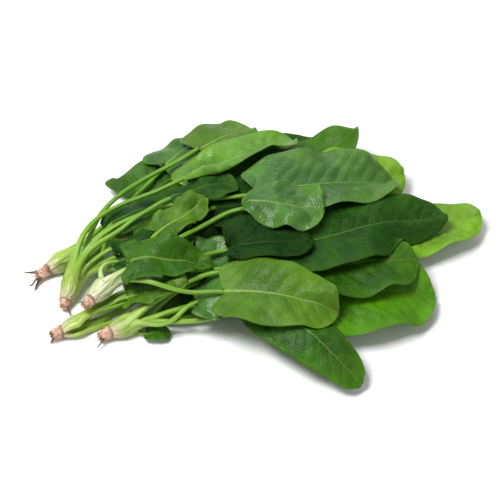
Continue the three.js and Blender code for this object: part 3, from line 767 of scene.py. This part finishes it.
def coarse_heights(leaf, share, signed):
    """Heights of the coarse blade, at a share of its length and from -1 to 1 across it."""
    knots = [-1, -0.55, 0, 0.55, 1]
    rows_z = smooth_through(BLADE_ROWS, leaf.blade[:, [0, 1, 3, 5, 6], 2], share[:, 0])
    return np.stack([smooth_through(knots, z, across) for z, across in zip(rows_z, signed)])


def vein_phase(along, across, number):
    """Counts the side veins from the blade's base on: each lies where this is a whole number."""
    outward = np.abs(across)
    wobble = VEIN_WOBBLE * swell(along, across, VEIN_WOBBLE_SPACING, number + VEIN_SEED)
    phase = (along - VEIN_SLANT * outward - VEIN_BEND * outward**2) / VEIN_SPACING
    return phase + wobble + 0.5 * (across > 0)


def blade_relief(leaf, number, along, across, share, beyond, phase):
    """How far a blade's face stands out from its coarse form."""
    outward = np.abs(across)
    inner = outward / (outward + 3) * (1 - beyond**4)
    puff = PUFF * (0.5 - 0.5 * np.cos(2 * math.pi * phase)) ** 0.6 * inner
    groove = GROOVE_DEPTH * np.exp(-((outward / GROOVE_WIDTH) ** 2)) * (1 - 0.8 * share)
    hills = HILL_HEIGHT * swell(along, across, HILL_SPACING, number + HILL_SEED) * beyond
    hills = hills + DIMPLE_HEIGHT * swell(along, across, DIMPLE_SPACING, number)
    relief = puff - groove + hills * inner
    if leaf.crumple:
        wrinkles = swell(along, across, WRINKLE_SPACING, WRINKLE_SEED) * smooth_step(share, 0.4, 0.75)
        relief = relief + leaf.crumple * wrinkles * (1 - 0.8 * beyond**2)
    return relief


def blade_thickness(share, outward, beyond):
    """Thin at the margin, and as thick as the stalk where the midrib leaves it."""
    rib_half = STALK_RADIUS_BLADE * (1 - 0.7 * share)
    rib_round = np.sqrt(np.maximum(0, 1 - (outward / rib_half) ** 2))
    thickness = FINE_THICKNESS * (1 - 0.4 * beyond**3)
    return thickness + (2 * STALK_RADIUS_BLADE - 0.6) * (1 - 0.88 * share) * rib_round


def upward_normals(face):
    """Unit normals of a face, turned to point up."""
    normals = -face_normals(face)
    normals *= np.sign(normals[..., 2:])
    return normals


def fine_blade(leaf, number):
    """Upper and lower face of a fine blade through the heights of its coarse one."""
    share = fine_rows(leaf)
    column = fine_columns(leaf)
    side = np.sign(column)
    rib = RIB_HALF_WIDTH * (1 - RIB_TAPER * share)
    _, wide_margin = blade_place(leaf, share, column, LEAST_HALF_WIDTH)
    rib_share = rib / wide_margin
    beyond = np.clip((np.abs(column) - rib_share) / (1 - rib_share), 0, 1)
    along, margin_out = blade_place(leaf, share, beyond, 0.2)
    margin_out = fine_margin(leaf, share, side, margin_out, number)
    x_wave = np.broadcast_to(share * leaf.length, beyond.shape)
    nick = swell(x_wave, side * 40.0, NICK_SPACING, number) * NICK_DEPTH
    across = column * margin_out + side * nick * beyond**3 * np.minimum(1, margin_out / 6)
    out = across * np.cos(np.radians(leaf.fold + side * leaf.roll))
    curl_lift = 0
    if leaf.curl:
        out, curl_lift = curled(out, share, Record(**leaf.curl))
    z = coarse_heights(leaf, share, np.clip(across / wide_margin, -1, 1)) + curl_lift
    upper = placed(leaf, along, out, z)
    phase = vein_phase(along, across, number)
    relief = blade_relief(leaf, number, along, across, share, beyond, phase)
    ripple = RIPPLE_HEIGHT * swell(x_wave, side * 60.0, RIPPLE_SPACING, number + RIPPLE_SEED) * beyond**3
    upper = upper + upward_normals(upper) * relief[..., None]
    upper[..., 2] += ripple
    thickness = blade_thickness(share, np.abs(across), beyond)
    lower = upper - upward_normals(upper) * thickness[..., None]
    values = {
        "along": np.broadcast_to(share, beyond.shape),
        "across": across,
        "margin": np.broadcast_to(beyond, across.shape),
        "phase": phase,
    }
    return upper, lower, values


class FinePile:
    """The height of the fine pieces that are already laid."""

    def __init__(self):
        self.heights = np.full((2 * PILE_REACH, 2 * PILE_REACH), -1.0)

    def cells(self, points):
        return np.floor(points[..., :2] + PILE_REACH).astype(int)

    def add(self, points):
        cells = self.cells(points).reshape(-1, 2)
        z = points[..., 2].reshape(-1)
        for dx in (-1, 0, 1):
            for dy in (-1, 0, 1):
                np.maximum.at(self.heights, (cells[:, 1] + dy, cells[:, 0] + dx), z)

    def needed(self, points):
        """How far each point must rise to lie clear of the pile and of the table."""
        cells = self.cells(points)
        height = self.heights[cells[..., 1], cells[..., 0]]
        return np.where(height > 0, height + FINE_GAP, 0) - points[..., 2]


def settled(need):
    """A smooth lift of a blade that is nowhere less than what is needed."""
    lift = np.maximum(need, 0)
    for _ in range(BLADE_ROUNDS):
        wide = np.pad(lift, 1, mode="edge")
        mean = (wide[:-2, 1:-1] + wide[2:, 1:-1] + wide[1:-1, :-2] + wide[1:-1, 2:]) / 4
        lift = np.maximum(need, mean)
    return np.maximum(lift, 0)


def sheath_and_stalk(plant, leaf):
    """Smooth path of a stalk from the root end of its crown on, and its shares of the stalk.

    The shares are below 0 in the sheath, which lies along the crown.
    """
    outward = stalk_root(plant, leaf)
    reach = CROWN_LENGTH / 2 + SHEATH_OVERHANG
    back = plant.centre - plant.axis * reach + outward * SHEATH_END_OUT
    neck = plant.centre - plant.axis * NECK_BACK + outward * NECK_OUT
    knots = np.concatenate([[-0.2, -0.09], STALK_SHARES])
    coarse = np.concatenate([[back, neck], leaf.stalk])
    u = np.concatenate([np.linspace(-0.2, 0, SHEATH_RINGS)[:-1], np.linspace(0, 1, STALK_RINGS)])
    path = smooth_through(knots, coarse, u)
    for _ in range(PATH_ROUNDS):
        path[1:-1] = (path[:-2] + 2 * path[1:-1] + path[2:]) / 4
    return path, u


def fine_stalk(plant, leaf, pile, blade_base):
    """Path and radii of a stalk up to its blade, clear of what lies under it.

    Near its crown it stays with the other stalks, and its last rings stay with its blade.
    """
    path, u = sheath_and_stalk(plant, leaf)
    path += (blade_base - path[-1]) * smooth_step(u, 0, 1)[:, None]
    radii = stalk_radius(np.clip(u, 0, 1)) * np.where(u < 0, 1 + 1.5 * u, 1)
    far = np.linalg.norm(path - plant.centre, axis=1) > FUSED_REACH
    below = path.copy()
    below[:, 2] -= radii
    need = np.where(far, pile.needed(below), 0)
    need[-RINGS_AT_BLADE:] = 0
    lift = np.maximum(need, 0)
    for _ in range(STALK_ROUNDS):
        wide = np.pad(lift, 1, mode="edge")
        lift = np.maximum(need, (wide[:-2] + wide[2:]) / 2)
        lift[-1] = 0
    path[:, 2] += np.maximum(lift, 0)
    path[:, 2] = np.maximum(path[:, 2], radii * 0.97)
    return path, radii, u


def angles(sides):
    return np.arange(sides) / sides * 2 * math.pi


def tube_rings(path, radii, sides, section, facing=(0.0, 0.0, 1.0), breadth=1.0):
    """Rings of points round a path; section gives the share of the radius at each angle.

    A quarter turn from the first point of a ring is its facing side. Breadth widens a ring to the
    sides of that.
    """
    tangent = np.gradient(path, axis=0)
    tangent /= np.linalg.norm(tangent, axis=1, keepdims=True)
    left = np.cross(np.broadcast_to(facing, path.shape), tangent)
    left /= np.maximum(np.linalg.norm(left, axis=1, keepdims=True), 1e-9)
    up = np.cross(tangent, left)
    angle = angles(sides)
    share = section(angle[None, :], np.arange(len(path))[:, None])
    radius = (radii[:, None] * share)[..., None]
    return (
        path[:, None]
        + left[:, None] * np.cos(angle)[None, :, None] * radius * breadth
        + up[:, None] * np.sin(angle)[None, :, None] * radius
    )


class Shape:
    """Points, faces and values gathered for one mesh."""

    def __init__(self):
        self.points = []
        self.faces = []
        self.values = {}
        self.count = 0

    def add(self, points, faces, **values):
        self.points.append(points.reshape(-1, 3))
        self.faces += [tuple(k + self.count for k in face) for face in faces]
        for name, value in values.items():
            self.values.setdefault(name, []).append(np.asarray(value, float).reshape(-1))
        self.count += points.reshape(-1, 3).shape[0]

    def tube(self, rings, **values):
        """A closed tube through the rings; each value is given for every ring point."""
        count, sides = rings.shape[:2]
        faces = []
        for i in range(count - 1):
            for j in range(sides):
                a = i * sides + j
                b = i * sides + (j + 1) % sides
                faces.append((a, b, b + sides, a + sides))
        ends = np.stack([rings[0].mean(axis=0), rings[-1].mean(axis=0)])
        first, last = count * sides, count * sides + 1
        for j in range(sides):
            k = (j + 1) % sides
            faces.append((first, k, j))
            faces.append((last, (count - 1) * sides + j, (count - 1) * sides + k))
        spread = {}
        for name, value in values.items():
            value = np.broadcast_to(np.asarray(value, float), (count, sides))
            spread[name] = np.concatenate([value.reshape(-1), [value[0].mean(), value[-1].mean()]])
        self.add(np.concatenate([rings.reshape(-1, 3), ends]), faces, **spread)

    def sheet(self, upper, lower, values):
        """A closed sheet between an upper and a lower face."""
        rows, columns = upper.shape[:2]
        index = np.arange(rows * columns).reshape(rows, columns)
        near, right = index[:-1, :-1].ravel(), index[:-1, 1:].ravel()
        far, across = index[1:, :-1].ravel(), index[1:, 1:].ravel()
        count = rows * columns
        faces = np.stack([near, right, across, far], axis=1)[:, ::-1].tolist()
        faces += (np.stack([near, right, across, far], axis=1) + count).tolist()
        rim = index[0, :-1].tolist() + index[:-1, -1].tolist()
        rim += index[-1, :0:-1].tolist() + index[:0:-1, 0].tolist()
        for a, b in zip(rim, rim[1:] + rim[:1]):
            faces.append((a, b, b + count, a + count))
        under = np.concatenate([np.zeros(count), np.ones(count)])
        both = {name: np.tile(np.asarray(v, float).reshape(-1), 2) for name, v in values.items()}
        self.add(np.concatenate([upper.reshape(-1, 3), lower.reshape(-1, 3)]), faces, under=under, **both)

    def piece(self, name, node, slot, material):
        mesh = bpy.data.meshes.new(name)
        points = (np.concatenate(self.points) + SHIFT) * MM
        mesh.from_pydata(points.tolist(), [], self.faces)
        for key, value in self.values.items():
            layer = mesh.attributes.new(key, "FLOAT", "POINT")
            layer.data.foreach_set("value", np.concatenate(value).astype(np.float32))
        mesh.shade_smooth()
        mesh.materials.append(material)
        piece = bpy.data.objects.new(name, mesh)
        bpy.context.scene.collection.objects.link(piece)
        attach(piece, "root")
        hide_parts(node)


# Materials


class Nodes:
    """A node tree with short calls for what the materials need."""

    def __init__(self, name):
        self.material = bpy.data.materials.new(name)
        self.material.use_nodes = True
        self.tree = self.material.node_tree
        self.shader = self.tree.nodes["Principled BSDF"]

    def add(self, kind, **settings):
        node = self.tree.nodes.new(kind)
        for key, value in settings.items():
            setattr(node, key, value)
        return node

    def link(self, source, target):
        self.tree.links.new(source, target)

    def put(self, value, socket):
        if isinstance(value, bpy.types.NodeSocket):
            self.link(value, socket)
        else:
            socket.default_value = value

    def math(self, operation, a, b=0.0):
        node = self.add("ShaderNodeMath", operation=operation)
        self.put(a, node.inputs[0])
        self.put(b, node.inputs[1])
        return node.outputs[0]

    def plus(self, a, b):
        return self.math("ADD", a, b)

    def minus(self, a, b):
        return self.math("SUBTRACT", a, b)

    def times(self, a, b):
        return self.math("MULTIPLY", a, b)

    def position(self):
        return self.add("ShaderNodeTexCoord").outputs["Object"]

    def attribute(self, name):
        return self.add("ShaderNodeAttribute", attribute_name=name).outputs["Fac"]

    def ramp(self, value, low, high):
        """0 at low and 1 at high, smooth between them."""
        node = self.add("ShaderNodeMapRange", interpolation_type="SMOOTHSTEP")
        self.put(value, node.inputs["Value"])
        self.put(low, node.inputs["From Min"])
        self.put(high, node.inputs["From Max"])
        return node.outputs["Result"]

    def noise(self, scale, detail, vector):
        node = self.add("ShaderNodeTexNoise")
        node.inputs["Scale"].default_value = scale
        node.inputs["Detail"].default_value = detail
        self.link(vector, node.inputs["Vector"])
        return node.outputs["Fac"]

    def cells(self, scale, vector):
        """Distance to the edges of random cells."""
        node = self.add("ShaderNodeTexVoronoi", feature="DISTANCE_TO_EDGE")
        node.inputs["Scale"].default_value = scale
        self.link(vector, node.inputs["Vector"])
        return node.outputs["Distance"]

    def mix(self, share, a, b):
        node = self.add("ShaderNodeMix", data_type="RGBA")
        self.put(share, node.inputs[0])
        for value, socket in ((a, node.inputs[6]), (b, node.inputs[7])):
            self.put(value if isinstance(value, bpy.types.NodeSocket) else (*value, 1.0), socket)
        return node.outputs[2]

    def bump(self, height, distance):
        node = self.add("ShaderNodeBump")
        node.inputs["Distance"].default_value = distance
        node.inputs["Strength"].default_value = 1.0
        self.link(height, node.inputs["Height"])
        self.link(node.outputs["Normal"], self.shader.inputs["Normal"])

    def translucent(self, weight, radius, scale):
        """Light spreads inside by different amounts for red, green and blue."""
        self.shader.inputs["Subsurface Weight"].default_value = weight
        self.shader.inputs["Subsurface Radius"].default_value = radius
        self.shader.inputs["Subsurface Scale"].default_value = scale


def blended(colour, other, share):
    return tuple(a + (b - a) * share for a, b in zip(colour, other))


VEIN_GREEN = (0.22, 0.38, 0.07)
RIB_GREEN = (0.30, 0.46, 0.10)
UNDER_GREEN = (0.13, 0.27, 0.06)
YELLOW_GREEN = (0.19, 0.37, 0.012)


def mottled_green(nodes, position, green, paler):
    """The green between the veins, yellower at the margin and the tip as painted light shining through
    from behind, and at the tip also as younger growth.
    """
    mottle = nodes.ramp(nodes.noise(48, 3.0, position), 0.36, 0.66)
    dim = tuple(value * 0.68 for value in green)
    colour = nodes.mix(mottle, dim, blended(green, YELLOW_GREEN, 0.2 * paler))
    # Painted light: the margin and the tip turn yellow-green as if lit through from behind
    at_margin = nodes.ramp(nodes.attribute("margin"), 0.6, 1.0)
    young = nodes.plus(at_margin, nodes.ramp(nodes.attribute("along"), 0.55, 1.0))
    return nodes.mix(nodes.times(young, 0.2), colour, blended(green, YELLOW_GREEN, 1.2 * paler))


def side_vein_share(nodes):
    """1 on a side vein and 0 away from it; the veins fade towards the margin."""
    margin = nodes.attribute("margin")
    nearest = nodes.minus(nodes.math("FRACT", nodes.plus(nodes.attribute("phase"), 0.5)), 0.5)
    apart = nodes.times(nodes.math("ABSOLUTE", nearest), VEIN_SPACING)
    width = nodes.minus(0.75, nodes.times(margin, 0.5))
    share = nodes.minus(1.0, nodes.ramp(apart, 0.0, width))
    return nodes.math("MAXIMUM", nodes.times(share, nodes.minus(0.9, margin)), 0.0)


def midrib_share(nodes):
    """1 on the midrib, which narrows towards the tip, and 0 beside it."""
    out = nodes.math("ABSOLUTE", nodes.attribute("across"))
    width = nodes.minus(1.25, nodes.times(nodes.attribute("along"), 1.05))
    return nodes.minus(1.0, nodes.ramp(out, nodes.times(width, 0.3), width))


def blade_material(name, green, roughness, shine, paler):
    """Leaf: mottled green, a paler midrib, faint side veins and a net, and a dull underside."""
    nodes = Nodes("blade_" + name)
    position = nodes.position()
    net = nodes.cells(380, position)
    net_line = nodes.minus(1.0, nodes.ramp(net, 0.0, 0.10))
    side_vein = side_vein_share(nodes)
    faint_vein = nodes.times(side_vein, 0.42)
    rib = midrib_share(nodes)
    rib_share = nodes.times(rib, nodes.minus(0.85, nodes.times(nodes.attribute("along"), 0.45)))
    colour = mottled_green(nodes, position, green, paler)
    colour = nodes.mix(nodes.times(net_line, 0.10), colour, blended(green, VEIN_GREEN, 0.5))
    colour = nodes.mix(faint_vein, colour, blended(green, VEIN_GREEN, paler))
    colour = nodes.mix(rib_share, colour, blended(green, RIB_GREEN, paler * 1.3))
    under = nodes.attribute("under")
    pale = nodes.mix(faint_vein, blended(green, UNDER_GREEN, 0.7), VEIN_GREEN)
    pale = nodes.mix(rib, pale, RIB_GREEN)
    nodes.link(nodes.mix(under, colour, pale), nodes.shader.inputs["Base Color"])
    uneven = nodes.times(nodes.noise(300, 2.0, position), 0.14)
    dull = nodes.plus(nodes.plus(uneven, roughness - 0.07), nodes.times(under, 0.2))
    nodes.link(dull, nodes.shader.inputs["Roughness"])
    nodes.shader.inputs["Specular IOR Level"].default_value = shine
    nodes.translucent(0.10, (0.4, 1.0, 0.1), 0.0015)
    grain = nodes.times(nodes.noise(900, 2.0, position), 0.5)
    grain = nodes.plus(grain, nodes.ramp(net, 0.0, 0.25))
    nodes.bump(nodes.minus(grain, side_vein), 0.00012)
    return nodes.material


# Colours of a stalk: that of its root end, and those that follow, each with where it sets in and
# where it is full, in millimetres from the end
STALK_END = (0.38, 0.23, 0.14)
STALK_COLOURS = [
    (0, 1.4, (0.64, 0.61, 0.32)),
    (2.5, 9, (0.40, 0.56, 0.095)),
    (9, 34, (0.25, 0.45, 0.035)),
    (32, 85, (0.145, 0.335, 0.016)),
]
PALE_STALK = (0.80, 0.84, 0.52)
STREAK_GREEN = (0.045, 0.17, 0.004)


def stalk_material():
    """Stalk: cream at the crown, then pale and at last bright green, with lengthwise streaks."""
    nodes = Nodes("stalk")
    along = nodes.attribute("along")
    lengthwise = nodes.add("ShaderNodeCombineXYZ")
    nodes.link(nodes.attribute("turn"), lengthwise.inputs["X"])
    nodes.link(nodes.times(along, 0.02), lengthwise.inputs["Y"])
    nodes.link(nodes.attribute("number"), lengthwise.inputs["Z"])
    streak = nodes.noise(2.4, 3.0, lengthwise.outputs[0])
    colour = STALK_END
    for start, full, following in STALK_COLOURS:
        colour = nodes.mix(nodes.ramp(along, start, full), colour, following)
    pale = nodes.times(nodes.attribute("pale"), nodes.ramp(along, 40, 10))
    colour = nodes.mix(nodes.times(pale, 0.7), colour, PALE_STALK)
    dark = nodes.mix(0.72, colour, STREAK_GREEN)
    colour = nodes.mix(nodes.times(nodes.ramp(streak, 0.40, 0.72), 0.75), colour, dark)
    nodes.link(colour, nodes.shader.inputs["Base Color"])
    nodes.shader.inputs["Roughness"].default_value = 0.36
    nodes.translucent(0.25, (0.6, 1.0, 0.25), 0.003)
    nodes.bump(streak, 0.0004)
    return nodes.material


ROOT_PINKS = (0.54, 0.29, 0.19), (0.80, 0.56, 0.42)
ROOT_BROWN = (0.15, 0.065, 0.04)
CUT_PINK = (0.80, 0.50, 0.38)
THREAD_BROWNS = (0.10, 0.055, 0.035), (0.27, 0.16, 0.10)


def root_material():
    """Root: salmon pink, brown at the collar and round the cut, with specks of soil."""
    nodes = Nodes("root")
    position = nodes.position()
    along = nodes.attribute("along")
    patches = nodes.ramp(nodes.noise(500, 4.0, position), 0.38, 0.66)
    colour = nodes.mix(patches, *ROOT_PINKS)
    uneven = nodes.plus(along, nodes.times(nodes.noise(260, 2.0, position), 0.5))
    collar = nodes.minus(1.0, nodes.ramp(uneven, 0.35, 0.62))
    rim = nodes.minus(1.0, nodes.math("ABSOLUTE", nodes.minus(along, 0.86)))
    brown = nodes.math("MAXIMUM", collar, nodes.ramp(rim, 0.90, 0.98))
    colour = nodes.mix(nodes.times(brown, 0.7), colour, ROOT_BROWN)
    colour = nodes.mix(nodes.times(nodes.ramp(along, 0.93, 1.0), 0.8), colour, CUT_PINK)
    soil = nodes.ramp(nodes.noise(1100, 5.0, position), 0.60, 0.72)
    colour = nodes.mix(nodes.times(soil, 0.7), colour, ROOT_BROWN)
    colour = nodes.mix(nodes.attribute("thread"), colour, nodes.mix(patches, *THREAD_BROWNS))
    nodes.link(colour, nodes.shader.inputs["Base Color"])
    nodes.shader.inputs["Roughness"].default_value = 0.75
    nodes.bump(nodes.noise(1500, 4.0, position), 0.0008)
    return nodes.material


# Pieces


def above_table(rings):
    rings[..., 2] = np.maximum(rings[..., 2], TABLE_CLEARANCE)
    return rings


def add_stalk(shape, plant, leaf, path, radii, u, number):
    """A stalk: a broad ribbed sheath at the crown, and then round, with a channel along its top."""
    free = smooth_step(u, -0.02, 0.2)
    turned = smooth_step(u, 0.02, 0.35)[:, None]
    outward = stalk_root(plant, leaf)
    facing = outward * (1 - turned) + np.array([0, 0, 1.0 if outward[2] > -0.2 else -1.0]) * turned

    def section(angle, ring):
        top = (angle - math.pi / 2 + math.pi) % (2 * math.pi) - math.pi
        channel = 0.22 * free[ring] * np.exp(-((top / 0.45) ** 2))
        ribs = (0.025 + 0.05 * (1 - free[ring])) * np.cos(6 * angle + number)
        thin = 0.30 * (1 - free[ring]) * np.abs(np.sin(angle))
        return 1 - channel + ribs - thin

    breadth = (1 + SHEATH_BREADTH * (1 - free))[:, None, None]
    rings = above_table(tube_rings(path, radii, STALK_SIDES, section, facing, breadth))
    steps = np.linalg.norm(np.diff(path, axis=0), axis=1)
    along = np.concatenate([[0], np.cumsum(steps)])[:, None]
    turn = np.cos(angles(STALK_SIDES))[None, :] * 1.6
    shape.tube(rings, along=along, turn=turn, number=number * 3.7, pale=plant.pale)


def add_core(shape, plant):
    """The core of a crown, lobed like the sheaths round it."""
    shares = np.linspace(0, 1, 18)
    at = -CROWN_LENGTH / 2 + shares * (CROWN_LENGTH + 5)
    profile = smooth_through([0, 0.16, 0.38, 0.6, 0.78, 1], [0.48, 0.7, 0.78, 0.66, 0.42, 0.1], shares)
    path = plant.centre + plant.axis * at[:, None]

    def lobes(angle, ring):
        return 1 + 0.07 * np.abs(np.sin(2.5 * angle + 0.06 * ring)) - 0.03

    rings = above_table(tube_rings(path, profile * CROWN_RADIUS, CROWN_SIDES, lobes))
    along = (at + CROWN_LENGTH / 2 + 6)[:, None]
    turn = np.cos(angles(CROWN_SIDES) * 3)[None, :] * 1.5
    shape.tube(rings, along=along, turn=turn, number=7, pale=plant.pale)


def add_root(shape, plant, number):
    """A trimmed taproot, wrinkled and ringed, with its side roots."""
    shares = np.linspace(0, 1, 22)
    back = -CROWN_LENGTH / 2 - TOUCHING_GAP
    path = plant.centre + plant.axis * (back - shares * plant.root)[:, None]
    knots = [0, 0.1, 0.25, 0.45, 0.8, 0.93, 1]
    profile = smooth_through(knots, [0.86, 1, 0.95, 0.84, 0.66, 0.52, 0.1], shares) * FINE_ROOT_RADIUS

    def rough(angle, ring):
        bumps = swell(5 * np.cos(angle), 5 * np.sin(angle) + ring * 0.7, 6, number) * 0.08
        return 1 + bumps + 0.03 * np.sin(ring * 1.9) + 0.05 * np.cos(3 * angle + number)

    rings = above_table(tube_rings(path, profile, ROOT_SIDES, rough))
    shape.tube(rings, along=shares[:, None], thread=0)
    draw = np.random.RandomState(number)
    for angle, length in plant.rootlets:
        add_rootlet(shape, plant, angle, length, 0.6 + length * 0.05, draw)
    for _ in range(ROOT_HAIRS):
        add_rootlet(shape, plant, draw.uniform(0, 360), draw.uniform(2, 5), HAIR_RADIUS, draw)


def add_rootlet(shape, plant, angle, length, radius, draw):
    """A side root: it leaves near the root's end and bends a little at random."""
    turn = math.radians(angle)
    out = plant.left * math.cos(turn) + plant.up * math.sin(turn)
    start = plant.centre - plant.axis * (CROWN_LENGTH / 2 + TOUCHING_GAP + plant.root * 0.62)
    start = start + out * FINE_ROOT_RADIUS * 0.4
    share = np.linspace(0, 1, 12)[:, None]
    path = start - plant.axis * length * share
    path = path + out * (FINE_ROOT_RADIUS * 0.5 + length * 0.35) * share
    path = path + draw.uniform(-1, 1, 3) * 0.16 * length * np.sin(share * math.pi * 1.3)
    path = path + draw.uniform(-1, 1, 3) * 0.07 * length * np.sin(share * math.pi * 3.1)
    path[:, 2] = np.maximum(path[:, 2], radius)
    radii = radius * (1 - 0.75 * share[:, 0])
    rings = tube_rings(path, radii, 8, lambda angle, ring: 1 + 0.1 * np.sin(angle * 2 + ring))
    shape.tube(rings, along=share, thread=1)


def add_leaf(leaf, number, pile, shape, material):
    """Lays a fine blade and its stalk on the pile; the stalk goes into its plant's shape."""
    plant = leaf.plant
    upper, lower, values = fine_blade(leaf, number)
    lift = settled(pile.needed(lower))
    upper[..., 2] += lift
    lower[..., 2] += lift
    middle = upper.shape[1] // 2
    blade_base = upper[0, middle] - np.array([0, 0, STALK_RADIUS_BLADE - 0.15])
    blade_base = blade_base + leaf.direction * STALK_INTO_BLADE
    path, radii, u = fine_stalk(plant, leaf, pile, blade_base)
    add_stalk(shape, plant, leaf, path, radii, u, number)
    pile.add(path + np.array([0, 0, 1]) * radii[:, None])
    pile.add(upper)
    blade = Shape()
    blade.sheet(upper, lower, values)
    blade.piece("fine_leaf_" + leaf.name, "leaf_" + leaf.name, "blade", material)


def build_pieces():
    pile = FinePile()
    blades = {name: blade_material(name, *values) for name, values in BLADE_COLOURS.items()}
    stalk = stalk_material()
    root = root_material()
    shapes = {key: Shape() for key in plants}
    for key, plant in plants.items():
        if plant.core:
            add_core(shapes[key], plant)
    for number, leaf in enumerate(leaves):
        add_leaf(leaf, number, pile, shapes[leaf.plant.key], blades[leaf.colour])
    for number, (key, plant) in enumerate(plants.items()):
        shapes[key].piece("fine_stalks_" + key, "stalks_" + key, "stalk", stalk)
        shape = Shape()
        add_root(shape, plant, number)
        shape.piece("fine_root_" + key, "root_" + key, "root", root)


build_pieces()


# Floor and lights

FLOOR_SIZE = 6
WORLD_STRENGTH = 0.28
# Name, place, size and power
LIGHTS = [
    ("key", (-0.45, -0.05, 1.1), 0.45, 15.0),
    ("back", (0.30, 0.95, 0.80), 0.7, 3.5),
    ("fill", (0.6, -0.8, 0.8), 0.9, 1.5),
]


def make_floor():
    bpy.ops.mesh.primitive_plane_add(size=FLOOR_SIZE)
    floor = bpy.context.object
    floor.name = "floor"
    nodes = Nodes("floor")
    nodes.shader.inputs["Base Color"].default_value = (0.93, 0.93, 0.93, 1)
    nodes.shader.inputs["Roughness"].default_value = 0.9
    nodes.shader.inputs["Specular IOR Level"].default_value = 0.1
    floor.data.materials.append(nodes.material)


def make_light(name, place, size, power):
    """A square light that faces the middle of the bunch."""
    data = bpy.data.lights.new(name, "AREA")
    data.size = size
    data.energy = power
    light = bpy.data.objects.new(name, data)
    light.location = place
    light.rotation_euler = Vector(place).to_track_quat("Z", "Y").to_euler()
    bpy.context.scene.collection.objects.link(light)


def make_world():
    world = bpy.data.worlds.new("studio")
    bpy.context.scene.world = world
    world.use_nodes = True
    background = world.node_tree.nodes["Background"]
    background.inputs["Color"].default_value = (1, 1, 1, 1)
    background.inputs["Strength"].default_value = WORLD_STRENGTH


make_floor()
for light in LIGHTS:
    make_light(*light)
make_world()
